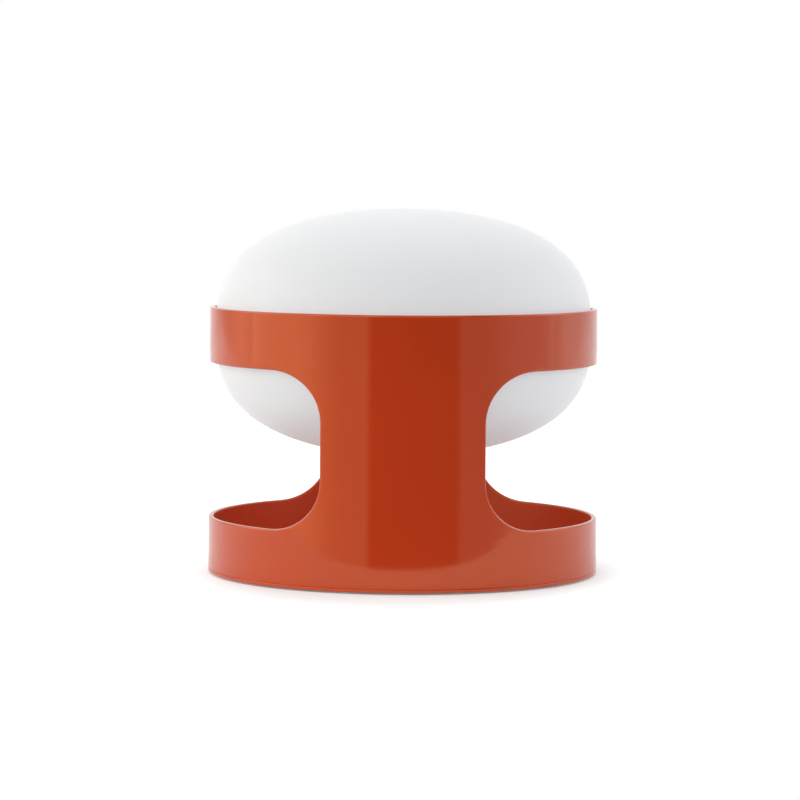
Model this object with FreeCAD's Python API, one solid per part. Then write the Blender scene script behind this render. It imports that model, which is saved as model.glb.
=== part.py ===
import FreeCAD, Part
import math
import os
from FreeCAD import Vector

# Table lamp: a drafted cylinder shell with two windows, standing on a disc,
# and an opal diffuser in two halves.
# A hollow pedestal on the disc carries the lampholder, which clamps the lower half of the diffuser.
# Millimetres, +Z up. The origin lies on the lamp's axis at table height. The front column is towards -Y.

# Body shell
BASE_RADIUS = 120.0
DRAFT_DEGREES = 0.32
SHELL_WALL = 3.2
BASE_RING_HEIGHT = 34.0
WINDOW_HEIGHT = 94.5
UPPER_RING_HEIGHT = 34.0
COLUMN_WIDTH = 97.1
WINDOW_CORNER = 30.0
EDGE_ROUND = 1.0
SEAM_ROUND = 0.4
BOSS_RADIUS = 4.5
BOSS_HEIGHT = 22.0
BOSS_TURN_DEGREES = 17.0
BOSS_SINK = 1.2
NOTCH_WIDTH = 8.0

# Base disc, feet and ballast
FOOT_STAND = 1.0
FOOT_RADIUS = 8.0
FOOT_SINK = 1.0
FOOT_INSET = 24.0
FOOT_ROUND = 0.4
DISC_PLATE = 2.0
SPIGOT_WALL = 2.4
SPIGOT_HEIGHT = 4.0
SPIGOT_SPREAD_DEGREES = 50.0
BALLAST_RADIUS = 49.0
BALLAST_THICKNESS = 8.0

# Pedestal
HUB_RADIUS = 58.0
HUB_HEIGHT = 16.0
HUB_ROUND = 6.0
NECK_RADIUS = 29.0
NECK_TOP_RADIUS = 27.0
NECK_RISE = 10.0
NECK_ROUND = 14.0
TOP_ROUND = 1.5
PEDESTAL_WALL = 2.5
PILLAR_RADIUS = 4.5
PILLAR_CIRCLE = 41.0

# Countersunk screws
SCREW_RADIUS = 1.75
SCREW_HEAD_RADIUS = 3.5
SHELL_SCREW_LENGTH = 12.0
PEDESTAL_SCREW_LENGTH = 18.0
SCREW_SLOT_WIDTH = 0.9
SCREW_SLOT_DEPTH = 0.8

# Diffuser: its outline is a superellipse, turned about the axis
DIFFUSER_HALF_HEIGHT = 75.53
DIFFUSER_WALL = 2.5
RADIUS_POWER = 2.19
HEIGHT_POWER = 2.775
JOINT_RISE = 19.06
LIP_HEIGHT = 4.0
LIP_WALL = 1.1
SEAT_RADIUS = 30.0
CURVE_STEPS = 14

# Cord gland
GLAND_BORE = 2.8
GLAND_RADIUS = 4.0
GLAND_FLANGE_RADIUS = 5.6
GLAND_FLANGE = 1.5
GLAND_BARB = 0.9
GLAND_DEPTH = 8.0

# Connector and leads
BLOCK_WIDTH = 24.0
BLOCK_DEPTH = 16.0
BLOCK_HEIGHT = 12.0
BLOCK_WEB = 4.0
BLOCK_SLOT = 7.0
BLOCK_BACK = 11.0
BLOCK_ROUND = 0.8
POLE_SPACING = 15.0
SLEEVE_RADIUS = 3.0
SLEEVE_BORE = 1.6
CLAMP_SPACING = 9.0
CLAMP_SCREW_RADIUS = 1.3
CLAMP_HEAD_RADIUS = 1.8
BLOCK_SCREW_RADIUS = 1.5
BLOCK_SCREW_HEAD_RADIUS = 2.7
BLOCK_SCREW_HEAD = 2.0
LEAD_RADIUS = 1.1
LEAD_GRIP = 6.0
LEAD_RUN = 12.0
LEAD_RISE = 14.0
LEAD_APPROACH = 4.0
LEAD_ENTRY = 6.0
LEAD_BEND_SHARE = 0.45

# Lampholder
SKIRT_RADIUS = 19.3
SKIRT_WALL = 1.8
SKIRT_HEIGHT = 33.0
SKIRT_BEAD = 0.8
SKIRT_PITCH = 3.0
FLANGE_PLATE = 2.0
CAP_RADIUS = 21.0
CAP_WALL = 1.8
CAP_HEIGHT = 24.0
CAP_NOSE_RADIUS = 12.0
CAP_BORE = 5.0
CORE_FLANGE = 2.0
CORE_LEDGE = 1.6
CORE_FLOOR = 8.0
CORE_CUP = 8.0
CORE_CUP_WALL = 2.0
SOCKET_WALL = 1.4
SOCKET_HEIGHT = 22.0
SOCKET_FLOOR = 0.8
SOCKET_LIP = 3.5
CONTACT_STRIP = 0.5
CONTACT_RISE = 2.6
CONTACT_WIDTH = 6.0
CONTACT_REACH = 8.0
TERMINAL_SIZE = 6.0
TERMINAL_OFFSET = 9.0
TERMINAL_BORE = 1.5
TERMINAL_SCREW_RADIUS = 1.2
TERMINAL_SCREW_HEAD_RADIUS = 2.0
TERMINAL_SCREW_HEAD = 1.4
RING_FLANGE_RADIUS = 28.0
RING_FLANGE = 2.0
RING_HEIGHT = 8.0
RING_WALL = 3.0
RING_NOTCHES = 8
RING_NOTCH_RADIUS = 2.4
GASKET_THICKNESS = 1.0

# Bulb with an E27 cap: 7 turns to the inch
THREAD_PITCH = 25.4 / 7
THREAD_BEAD = 0.95
BULB_ROOT_RADIUS = 12.1
BULB_LENGTH = 110.0
BULB_CAP_LENGTH = 17.0
BULB_CAP_WALL = 1.0
BULB_INSULATOR_HEIGHT = 4.2
BULB_TIP_RADIUS = 4.6
BULB_TIP_HEIGHT = 1.0
GLOBE_SWELL = 1.2
GLOBE_WALL = 1.2
COLLAR_TOP_RADIUS = 28.8
COLLAR_WALL = 1.6
COLLAR_WAIST_RISE = 5.0
COLLAR_ROUND = 26.0
BOARD_THICKNESS = 1.6
BOARD_GAP = 1.5
LED_COUNT = 10
LED_SIZE = 2.8
LED_HEIGHT = 0.7
LED_CIRCLE = 17.0
DRIVER_WIDTH = 18.0
DRIVER_HEIGHT = 26.0
DRIVER_THICKNESS = 1.6
DRIVER_PART_DEPTH = 6.0

# Clearances
RING_GAP = 0.4
LIP_GAP = 0.35
FIT_GAP = 0.3
SCREW_GAP = 0.3
THREAD_GAP = 0.05
TIP_GAP = 0.3

# Heights that follow from the sizes above
DISC_LOW = FOOT_STAND
SHELL_LOW = DISC_LOW + DISC_PLATE
WINDOW_LOW = DISC_LOW + BASE_RING_HEIGHT
WINDOW_TOP = WINDOW_LOW + WINDOW_HEIGHT
SHELL_TOP = WINDOW_TOP + UPPER_RING_HEIGHT
BALLAST_TOP = SHELL_LOW + BALLAST_THICKNESS
HUB_TOP = SHELL_LOW + HUB_HEIGHT
JOINT_HEIGHT = WINDOW_TOP + JOINT_RISE
GLAND_HEIGHT = SHELL_LOW + GLAND_FLANGE_RADIUS + FIT_GAP

AXIS = Vector(0, 0, 1)
CENTRE = Vector(0, 0, 0)
FRONT_TO_BACK = Vector(0, 1, 0)


def shell_radius(height):
    """Outside radius of the drafted body at a height."""
    return BASE_RADIUS - (height - DISC_LOW) * math.tan(math.radians(DRAFT_DEGREES))


def bowl_height(radius, half_width, half_height):
    """Distance of the superellipse from the joint plane at a radius."""
    return half_height * (1 - (radius / half_width) ** RADIUS_POWER) ** (1 / HEIGHT_POWER)


def bowl_radius(height, half_width, half_height):
    """Radius of the superellipse at a distance from the joint plane."""
    return half_width * (1 - (height / half_height) ** HEIGHT_POWER) ** (1 / RADIUS_POWER)


# Sizes of the diffuser and the lampholder that follow from the shell
DIFFUSER_RADIUS = shell_radius(JOINT_HEIGHT) - SHELL_WALL - RING_GAP
INNER_RADIUS = DIFFUSER_RADIUS - DIFFUSER_WALL
INNER_HALF_HEIGHT = DIFFUSER_HALF_HEIGHT - DIFFUSER_WALL
SEAT_HEIGHT = JOINT_HEIGHT - bowl_height(SEAT_RADIUS, DIFFUSER_RADIUS, DIFFUSER_HALF_HEIGHT)
BOWL_FLOOR = SEAT_HEIGHT + DIFFUSER_WALL
PEDESTAL_TOP = SEAT_HEIGHT - GASKET_THICKNESS
HOLDER_SEAT = PEDESTAL_TOP - PEDESTAL_WALL
FLANGE_LOW = HOLDER_SEAT - FLANGE_PLATE
FLANGE_RADIUS = NECK_TOP_RADIUS - PEDESTAL_WALL - TOP_ROUND - FIT_GAP
HOLDER_HOLE = SKIRT_RADIUS + SKIRT_BEAD + FIT_GAP
SKIRT_BORE = SKIRT_RADIUS - SKIRT_WALL
SKIRT_TOP = HOLDER_SEAT + SKIRT_HEIGHT
CAP_LOW = FLANGE_LOW - CAP_HEIGHT
CORE_LOW = FLANGE_LOW - CORE_FLANGE
CORE_RADIUS = SKIRT_BORE - FIT_GAP
CORE_TOP = HOLDER_SEAT + CORE_FLOOR
TERMINAL_LOW = CORE_LOW - TERMINAL_SIZE
SOCKET_BORE = BULB_ROOT_RADIUS + THREAD_BEAD + FIT_GAP
SOCKET_RADIUS = SOCKET_BORE + SOCKET_WALL
TIP_LOW = CORE_TOP + CONTACT_RISE + TIP_GAP
INSULATOR_LOW = TIP_LOW + BULB_TIP_HEIGHT
BULB_CAP_LOW = INSULATOR_LOW + BULB_INSULATOR_HEIGHT
BULB_CAP_TOP = BULB_CAP_LOW + BULB_CAP_LENGTH
GLOBE_RADIUS = COLLAR_TOP_RADIUS + GLOBE_SWELL
GLOBE_CENTRE = TIP_LOW + BULB_LENGTH - GLOBE_RADIUS
COLLAR_TOP = GLOBE_CENTRE - math.sqrt(GLOBE_RADIUS ** 2 - COLLAR_TOP_RADIUS ** 2)
BOARD_TOP = COLLAR_TOP - BOARD_GAP
BLOCK_LOW = BALLAST_TOP
POLE_HEIGHT = BLOCK_LOW + BLOCK_HEIGHT / 2
PILLAR_ANGLE = 45.0


def outline(corners):
    """Closed wire in the XZ plane through (radius, height) or (radius, height, rounding) corners."""
    edges = []
    starts = []
    ends = []
    arcs = []
    for index, corner in enumerate(corners):
        here = Vector(corner[0], 0, corner[1])
        rounding = corner[2] if len(corner) > 2 else 0
        if not rounding:
            starts.append(here)
            ends.append(here)
            arcs.append(None)
            continue
        before = corners[index - 1]
        after = corners[(index + 1) % len(corners)]
        back = (Vector(before[0], 0, before[1]) - here).normalize()
        on = (Vector(after[0], 0, after[1]) - here).normalize()
        half = back.getAngle(on) / 2
        inward = (back + on).normalize()
        middle = here + inward * (rounding / math.sin(half) - rounding)
        starts.append(here + back * (rounding / math.tan(half)))
        ends.append(here + on * (rounding / math.tan(half)))
        arcs.append(middle)
    for index in range(len(corners)):
        if arcs[index]:
            edges.append(Part.Arc(starts[index], arcs[index], ends[index]).toShape())
        following = starts[(index + 1) % len(corners)]
        edges.append(Part.makeLine(ends[index], following))
    return Part.Wire(edges)


def lathe(corners):
    """Solid turned about the lamp's axis from an outline."""
    return Part.Face(outline(corners)).revolve(CENTRE, AXIS, 360)


def cylinder(radius, low, high, x=0.0, y=0.0):
    """Upright cylinder between two heights."""
    return Part.makeCylinder(radius, high - low, Vector(x, y, low))


def tube(outer, inner, low, high):
    """Upright tube on the axis."""
    return cylinder(outer, low, high).cut(cylinder(inner, low, high))


def box(x0, x1, y0, y1, z0, z1):
    """Box between two opposite corners."""
    return Part.makeBox(x1 - x0, y1 - y0, z1 - z0, Vector(x0, y0, z0))


def turned(shape, degrees):
    """Copy of a shape turned about the lamp's axis."""
    copy = shape.copy()
    copy.rotate(CENTRE, AXIS, degrees)
    return copy


def places(angles, radius):
    """Points on a circle about the axis, at angles from +X."""
    return [(radius * math.cos(math.radians(a)), radius * math.sin(math.radians(a))) for a in angles]


def rounded(shape, radius, wanted):
    """Shape with a fillet on each edge that the test picks."""
    edges = [edge for edge in shape.Edges if wanted(edge)]
    return shape.makeFillet(radius, edges)


def thread(radius, bead, pitch, low, high, phase=0.0):
    """Round helical ridge on a cylinder, from one height to another, shifted along the axis by a phase."""
    first = low + bead
    start_turn = (first - phase) / pitch * 360
    helix = Part.makeHelix(pitch, high - low - 2 * bead, radius)
    slope = Vector(0, 1, pitch / (2 * math.pi * radius))
    section = Part.Wire(Part.makeCircle(bead, Vector(radius, 0, 0), slope))
    ridge = Part.Wire(helix.Edges).makePipeShell([section], True, True)
    ridge.rotate(CENTRE, AXIS, start_turn)
    ridge.translate(Vector(0, 0, first))
    return ridge


def tube_along(points, radius):
    """Solid round lead along straight runs joined by arcs."""
    edges = []
    start = points[0]
    for before, here, after in zip(points, points[1:], points[2:]):
        back = before - here
        on = after - here
        reach = min(back.Length, on.Length) * LEAD_BEND_SHARE
        half = back.getAngle(on) / 2
        bend = reach * math.tan(half)
        inward = (Vector(back).normalize() + Vector(on).normalize()).normalize()
        entry = here + Vector(back).normalize() * reach
        leave = here + Vector(on).normalize() * reach
        middle = here + inward * (bend / math.sin(half) - bend)
        edges.append(Part.makeLine(start, entry))
        edges.append(Part.Arc(entry, middle, leave).toShape())
        start = leave
    edges.append(Part.makeLine(start, points[-1]))
    section = Part.Wire(Part.makeCircle(radius, points[0], points[1] - points[0]))
    return Part.Wire(edges).makePipeShell([section], True, False)


def countersunk_screw(length, x, y):
    """Screw whose slotted head lies flush with the underside of the base disc."""
    rise = SCREW_HEAD_RADIUS - SCREW_RADIUS
    head = Part.makeCone(SCREW_HEAD_RADIUS, SCREW_RADIUS, rise)
    shank = cylinder(SCREW_RADIUS, 0, length)
    half = SCREW_SLOT_WIDTH / 2
    slot = box(-SCREW_HEAD_RADIUS, SCREW_HEAD_RADIUS, -half, half, 0, SCREW_SLOT_DEPTH)
    screw = head.fuse(shank).removeSplitter().cut(slot)
    screw.translate(Vector(x, y, DISC_LOW))
    return screw


def screw_hole(depth, x, y):
    """Cutter for a countersunk screw's hole, up from the underside of the base disc."""
    mouth = SCREW_HEAD_RADIUS + SCREW_GAP
    shaft = SCREW_RADIUS + SCREW_GAP
    cone = Part.makeCone(mouth, shaft, mouth - shaft, Vector(x, y, DISC_LOW))
    return cone.fuse(cylinder(shaft, DISC_LOW, DISC_LOW + depth, x, y))


# Places that repeat
BOSS_CIRCLE = shell_radius(SHELL_LOW) - SHELL_WALL - BOSS_RADIUS + BOSS_SINK
BOSS_ANGLES = [side + turn for side in (90, 270) for turn in (-BOSS_TURN_DEGREES, BOSS_TURN_DEGREES)]
BOSS_PLACES = places(BOSS_ANGLES, BOSS_CIRCLE)
PILLAR_PLACES = places([PILLAR_ANGLE + 90 * quarter for quarter in range(4)], PILLAR_CIRCLE)
FOOT_PLACES = places([PILLAR_ANGLE + 90 * quarter for quarter in range(4)], BASE_RADIUS - FOOT_INSET)


def make_body_shell():
    """Base ring, two columns and upper ring in one moulding."""
    height = SHELL_TOP - SHELL_LOW
    low_radius = shell_radius(SHELL_LOW)
    top_radius = shell_radius(SHELL_TOP)
    outside = Part.makeCone(low_radius, top_radius, height, Vector(0, 0, SHELL_LOW))
    inside = Part.makeCone(low_radius - SHELL_WALL, top_radius - SHELL_WALL, height, Vector(0, 0, SHELL_LOW))
    outside = turned(outside, 90)
    inside = turned(inside, 90)
    shell = outside.cut(inside)
    reach = 2 * BASE_RADIUS
    for side in (-1, 1):
        edge = COLUMN_WIDTH / 2
        far = edge + reach
        corners = [
            (side * edge, WINDOW_LOW, WINDOW_CORNER),
            (side * far, WINDOW_LOW),
            (side * far, WINDOW_TOP),
            (side * edge, WINDOW_TOP, WINDOW_CORNER),
        ]
        window = Part.Face(outline(corners)).extrude(FRONT_TO_BACK * 2 * reach)
        window.translate(FRONT_TO_BACK * -reach)
        shell = shell.cut(window)

    def is_rim(edge):
        above = edge.BoundBox.ZMax > SHELL_LOW + EDGE_ROUND
        faces = shell.ancestorsOfType(edge, Part.Face)
        cones = [face for face in faces if isinstance(face.Surface, Part.Cone)]
        return above and len(faces) == 2 and len(cones) == 1

    shell = rounded(shell, EDGE_ROUND, is_rim)

    def is_foot_edge(edge):
        at_foot = abs(edge.BoundBox.ZMax - SHELL_LOW) < SEAM_ROUND / 10
        return at_foot and edge.BoundBox.XMax > low_radius - SHELL_WALL / 2

    shell = rounded(shell, SEAM_ROUND, is_foot_edge)
    boss_top = SHELL_LOW + BOSS_HEIGHT
    for x, y in BOSS_PLACES:
        boss = cylinder(BOSS_RADIUS, SHELL_LOW, boss_top, x, y)
        boss = rounded(boss, EDGE_ROUND, lambda edge: edge.BoundBox.ZMin > boss_top - EDGE_ROUND / 2)
        shell = shell.fuse(boss)
    for x, y in BOSS_PLACES:
        depth = SHELL_SCREW_LENGTH + SCREW_GAP
        shell = shell.cut(cylinder(SCREW_RADIUS + THREAD_GAP, DISC_LOW, DISC_LOW + depth, x, y))
    return shell.cut(cord_notch())


def cord_notch():
    """Arch at the foot of the back wall, in line with the gland, for the cord to pass under."""
    half = NOTCH_WIDTH / 2
    arch = Part.makeCylinder(half, BASE_RADIUS, Vector(0, 0, GLAND_HEIGHT), FRONT_TO_BACK)
    legs = box(-half, half, 0, BASE_RADIUS, SHELL_LOW - DISC_PLATE, GLAND_HEIGHT)
    notch = arch.fuse(legs)
    notch.translate(FRONT_TO_BACK * (HUB_RADIUS + GLAND_FLANGE))
    return notch


def make_base_disc():
    """Disc that closes the body from below, flush with its wall."""
    rim = shell_radius(DISC_LOW)
    disc = lathe([
        (0, DISC_LOW),
        (rim, DISC_LOW, SEAM_ROUND),
        (shell_radius(SHELL_LOW), SHELL_LOW, SEAM_ROUND),
        (0, SHELL_LOW),
    ])
    spigot_radius = shell_radius(SHELL_LOW) - SHELL_WALL - FIT_GAP
    spigot = tube(spigot_radius, spigot_radius - SPIGOT_WALL, SHELL_LOW, SHELL_LOW + SPIGOT_HEIGHT)
    half = spigot_radius * math.cos(math.radians(SPIGOT_SPREAD_DEGREES))
    gap = box(-half, half, -BASE_RADIUS, BASE_RADIUS, SHELL_LOW, SHELL_LOW + SPIGOT_HEIGHT)
    disc = disc.fuse(spigot.cut(gap)).removeSplitter()
    for x, y in BOSS_PLACES + PILLAR_PLACES:
        disc = disc.cut(screw_hole(DISC_PLATE, x, y))
    for x, y in FOOT_PLACES:
        disc = disc.cut(cylinder(FOOT_RADIUS + FIT_GAP, DISC_LOW, DISC_LOW + FOOT_SINK, x, y))
    return disc


def make_rubber_feet():
    """Four round feet, sunk into the disc."""
    feet = []
    for x, y in FOOT_PLACES:
        foot = cylinder(FOOT_RADIUS, 0, DISC_LOW + FOOT_SINK, x, y)
        feet.append(rounded(foot, FOOT_ROUND, lambda edge: edge.BoundBox.ZMax < FOOT_ROUND / 2))
    return Part.makeCompound(feet)


def make_ballast_plate():
    """Steel plate under the pedestal, clamped by the pedestal's screws."""
    plate = cylinder(BALLAST_RADIUS, SHELL_LOW, BALLAST_TOP)
    for x, y in PILLAR_PLACES:
        plate = plate.cut(cylinder(SCREW_RADIUS + SCREW_GAP, SHELL_LOW, BALLAST_TOP, x, y))
    return plate.cut(cylinder(BLOCK_SCREW_RADIUS + THREAD_GAP, SHELL_LOW, BALLAST_TOP, 0, BLOCK_BACK))


def pedestal_corners(wall):
    """Outline corners of the pedestal's outside, or of its hollow a wall further in."""
    slope = math.atan2(NECK_RISE, HUB_RADIUS - NECK_RADIUS)
    drop = wall / math.cos(slope)
    return [
        (HUB_RADIUS - wall, SHELL_LOW),
        (HUB_RADIUS - wall, HUB_TOP - drop + wall * math.tan(slope), max(HUB_ROUND - wall, 1)),
        (NECK_RADIUS - wall, HUB_TOP + NECK_RISE - drop + wall * math.tan(slope), NECK_ROUND + wall),
        (NECK_TOP_RADIUS - wall, PEDESTAL_TOP - wall, TOP_ROUND),
        (0, PEDESTAL_TOP - wall),
        (0, SHELL_LOW),
    ]


def make_base_pedestal():
    """Hollow hub and neck that carry the lampholder."""
    envelope = lathe(pedestal_corners(0))
    pedestal = envelope.cut(lathe(pedestal_corners(PEDESTAL_WALL)))
    for x, y in PILLAR_PLACES:
        pillar = cylinder(PILLAR_RADIUS, BALLAST_TOP, PEDESTAL_TOP, x, y)
        pedestal = pedestal.fuse(pillar.common(envelope))
    for x, y in PILLAR_PLACES:
        depth = PEDESTAL_SCREW_LENGTH + SCREW_GAP
        pedestal = pedestal.cut(cylinder(SCREW_RADIUS + THREAD_GAP, DISC_LOW, DISC_LOW + depth, x, y))
    pedestal = pedestal.cut(cylinder(HOLDER_HOLE, HOLDER_SEAT, PEDESTAL_TOP))
    inside = Vector(0, BALLAST_RADIUS, GLAND_HEIGHT)
    return pedestal.cut(Part.makeCylinder(GLAND_RADIUS + FIT_GAP, HUB_RADIUS, inside, FRONT_TO_BACK))


def make_cord_gland():
    """Snap-in bush in the back of the hub: flange outside, two barbs inside the wall."""
    seat = HUB_RADIUS
    centre = Vector(0, 0, GLAND_HEIGHT)
    face = centre + FRONT_TO_BACK * seat
    flange = Part.makeCylinder(GLAND_FLANGE_RADIUS, GLAND_FLANGE, face, FRONT_TO_BACK)
    barrel_start = centre + FRONT_TO_BACK * (seat + GLAND_FLANGE - GLAND_DEPTH)
    barrel = Part.makeCylinder(GLAND_RADIUS, GLAND_DEPTH, barrel_start, FRONT_TO_BACK)
    bore = Part.makeCylinder(GLAND_BORE, GLAND_DEPTH, barrel_start, FRONT_TO_BACK)
    barb_reach = GLAND_RADIUS + FIT_GAP + GLAND_BARB
    barb_back = math.sqrt((seat - PEDESTAL_WALL) ** 2 - barb_reach ** 2) - THREAD_GAP
    barb_low = GLAND_HEIGHT - GLAND_BORE / 2
    barb_high = GLAND_HEIGHT + GLAND_BORE / 2
    barb_front = seat + GLAND_FLANGE - GLAND_DEPTH
    barbs = box(-barb_reach, barb_reach, barb_front, barb_back, barb_low, barb_high)
    return flange.fuse(barrel).fuse(barbs).cut(bore).removeSplitter()


def make_screws(length, spots):
    """Group of countersunk screws at the given places."""
    return Part.makeCompound([countersunk_screw(length, x, y) for x, y in spots])


POLES = (-POLE_SPACING / 2, POLE_SPACING / 2)
CLAMPS = (BLOCK_BACK - CLAMP_SPACING / 2, BLOCK_BACK + CLAMP_SPACING / 2)
BLOCK_FRONT = BLOCK_BACK - BLOCK_DEPTH / 2
BLOCK_TOP = BLOCK_LOW + BLOCK_HEIGHT


def pole_bore(radius, x):
    """Cylinder along a pole of the connector."""
    return Part.makeCylinder(radius, BLOCK_DEPTH, Vector(x, BLOCK_FRONT, POLE_HEIGHT), FRONT_TO_BACK)


def make_terminal_block():
    """Two-pole connector body with a low web for its fixing screw."""
    back = BLOCK_FRONT + BLOCK_DEPTH
    block = box(-BLOCK_WIDTH / 2, BLOCK_WIDTH / 2, BLOCK_FRONT, back, BLOCK_LOW, BLOCK_TOP)
    slot = box(-BLOCK_SLOT / 2, BLOCK_SLOT / 2, BLOCK_FRONT, back, BLOCK_LOW + BLOCK_WEB, BLOCK_TOP)
    block = block.cut(slot)
    block = rounded(block, BLOCK_ROUND, lambda edge: edge.BoundBox.ZMin > BLOCK_TOP - BLOCK_ROUND / 2)
    for x in POLES:
        block = block.cut(pole_bore(SLEEVE_RADIUS + THREAD_GAP, x))
        for y in CLAMPS:
            block = block.cut(cylinder(CLAMP_HEAD_RADIUS + SCREW_GAP, POLE_HEIGHT, BLOCK_TOP, x, y))
    hole = cylinder(BLOCK_SCREW_RADIUS + SCREW_GAP, BLOCK_LOW, BLOCK_LOW + BLOCK_WEB, 0, BLOCK_BACK)
    return block.cut(hole)


def make_terminal_sleeves():
    """Brass sleeve in each pole of the connector."""
    sleeves = []
    for x in POLES:
        sleeve = pole_bore(SLEEVE_RADIUS, x).cut(pole_bore(SLEEVE_BORE, x))
        for y in CLAMPS:
            sleeve = sleeve.cut(cylinder(CLAMP_SCREW_RADIUS + THREAD_GAP, POLE_HEIGHT, BLOCK_TOP, x, y))
        sleeves.append(sleeve)
    return Part.makeCompound(sleeves)


def make_terminal_screws():
    """Clamp screws of the connector, each with its tip on the lead or in the empty bore."""
    screws = []
    head_low = POLE_HEIGHT + SLEEVE_RADIUS
    head_high = BLOCK_TOP - BLOCK_ROUND
    for x in POLES:
        for y in CLAMPS:
            shank = cylinder(CLAMP_SCREW_RADIUS, POLE_HEIGHT + LEAD_RADIUS, head_low, x, y)
            head = cylinder(CLAMP_HEAD_RADIUS, head_low, head_high, x, y)
            slot = box(x - CLAMP_HEAD_RADIUS, x + CLAMP_HEAD_RADIUS, y - SCREW_SLOT_WIDTH / 2,
                       y + SCREW_SLOT_WIDTH / 2, head_high - SCREW_SLOT_DEPTH, head_high)
            screws.append(shank.fuse(head).cut(slot))
    return Part.makeCompound(screws)


def make_block_screw():
    """Screw that holds the connector on the ballast plate."""
    seat = BLOCK_LOW + BLOCK_WEB
    shank = cylinder(BLOCK_SCREW_RADIUS, SHELL_LOW + FIT_GAP, seat, 0, BLOCK_BACK)
    head = cylinder(BLOCK_SCREW_HEAD_RADIUS, seat, seat + BLOCK_SCREW_HEAD, 0, BLOCK_BACK)
    top = seat + BLOCK_SCREW_HEAD
    slot = box(-BLOCK_SCREW_HEAD_RADIUS, BLOCK_SCREW_HEAD_RADIUS, BLOCK_BACK - SCREW_SLOT_WIDTH / 2,
               BLOCK_BACK + SCREW_SLOT_WIDTH / 2, top - SCREW_SLOT_DEPTH, top)
    return shank.fuse(head).cut(slot)


def make_lead(side):
    """Inner lead from a pole of the connector up through the holder's cap to a terminal."""
    pole = side * POLE_SPACING / 2
    mouth = side * CAP_BORE / 2
    terminal = side * TERMINAL_OFFSET
    points = [
        Vector(pole, BLOCK_FRONT + LEAD_GRIP, POLE_HEIGHT),
        Vector(pole, BLOCK_FRONT - LEAD_RUN, POLE_HEIGHT),
        Vector(pole, BLOCK_FRONT - LEAD_RUN, POLE_HEIGHT + LEAD_RISE),
        Vector(mouth, 0, CAP_LOW - LEAD_APPROACH),
        Vector(mouth, 0, CAP_LOW + LEAD_ENTRY),
        Vector(terminal, 0, TERMINAL_LOW - LEAD_APPROACH),
        Vector(terminal, 0, TERMINAL_LOW + TERMINAL_SIZE / 2),
    ]
    return tube_along(points, LEAD_RADIUS)


def make_holder_cap():
    """Lower half of the lampholder, over its terminals."""
    throat = CAP_NOSE_RADIUS - CAP_WALL
    waist = CAP_RADIUS - CAP_WALL
    shoulder = CAP_LOW + CAP_HEIGHT / 2
    return lathe([
        (CAP_BORE, CAP_LOW),
        (CAP_NOSE_RADIUS, CAP_LOW, CAP_WALL),
        (CAP_RADIUS, shoulder, CAP_WALL),
        (CAP_RADIUS, FLANGE_LOW),
        (waist, FLANGE_LOW),
        (waist, CORE_LOW),
        (waist - CORE_LEDGE, CORE_LOW),
        (waist - CORE_LEDGE, shoulder),
        (throat, CAP_LOW + CAP_WALL, CAP_WALL / 2),
        (CAP_BORE, CAP_LOW + CAP_WALL),
    ])


def make_holder_skirt():
    """Upper half of the lampholder: flange below, outside thread for the shade ring."""
    skirt = lathe([
        (SKIRT_BORE, FLANGE_LOW),
        (FLANGE_RADIUS, FLANGE_LOW),
        (FLANGE_RADIUS, HOLDER_SEAT),
        (SKIRT_RADIUS, HOLDER_SEAT),
        (SKIRT_RADIUS, SKIRT_TOP, SKIRT_WALL / 3),
        (SKIRT_BORE, SKIRT_TOP, SKIRT_WALL / 3),
    ])
    ridge = thread(SKIRT_RADIUS, SKIRT_BEAD, SKIRT_PITCH, BOWL_FLOOR, SKIRT_TOP - SKIRT_BEAD)
    return skirt.fuse(ridge)


def make_shade_ring():
    """Threaded ring that clamps the lower diffuser on the pedestal."""
    bore = HOLDER_HOLE
    high = BOWL_FLOOR + RING_HEIGHT
    ring = lathe([
        (bore, BOWL_FLOOR),
        (RING_FLANGE_RADIUS, BOWL_FLOOR),
        (RING_FLANGE_RADIUS, BOWL_FLOOR + RING_FLANGE, RING_FLANGE / 3),
        (bore + RING_WALL, BOWL_FLOOR + RING_FLANGE),
        (bore + RING_WALL, high, RING_WALL / 4),
        (bore, high),
    ])
    for x, y in places([360 / RING_NOTCHES * index for index in range(RING_NOTCHES)], RING_FLANGE_RADIUS):
        ring = ring.cut(cylinder(RING_NOTCH_RADIUS, BOWL_FLOOR, BOWL_FLOOR + RING_FLANGE, x, y))
    ridge = thread(bore, SKIRT_BEAD, SKIRT_PITCH, BOWL_FLOOR, high, SKIRT_PITCH / 2)
    return ring.fuse(ridge)


def make_seat_gasket():
    """Soft ring between the pedestal and the lower diffuser."""
    return tube(NECK_TOP_RADIUS - TOP_ROUND, HOLDER_HOLE, PEDESTAL_TOP, SEAT_HEIGHT)


def make_holder_core():
    """Ceramic insulator, its flange held between cap and skirt."""
    flange_radius = CAP_RADIUS - CAP_WALL - FIT_GAP
    cup = CORE_RADIUS - CORE_CUP_WALL
    return lathe([
        (0, CORE_LOW),
        (flange_radius, CORE_LOW),
        (flange_radius, FLANGE_LOW),
        (CORE_RADIUS, FLANGE_LOW),
        (CORE_RADIUS, CORE_TOP + CORE_CUP),
        (cup, CORE_TOP + CORE_CUP),
        (cup, CORE_TOP),
        (0, CORE_TOP),
    ])


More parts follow.
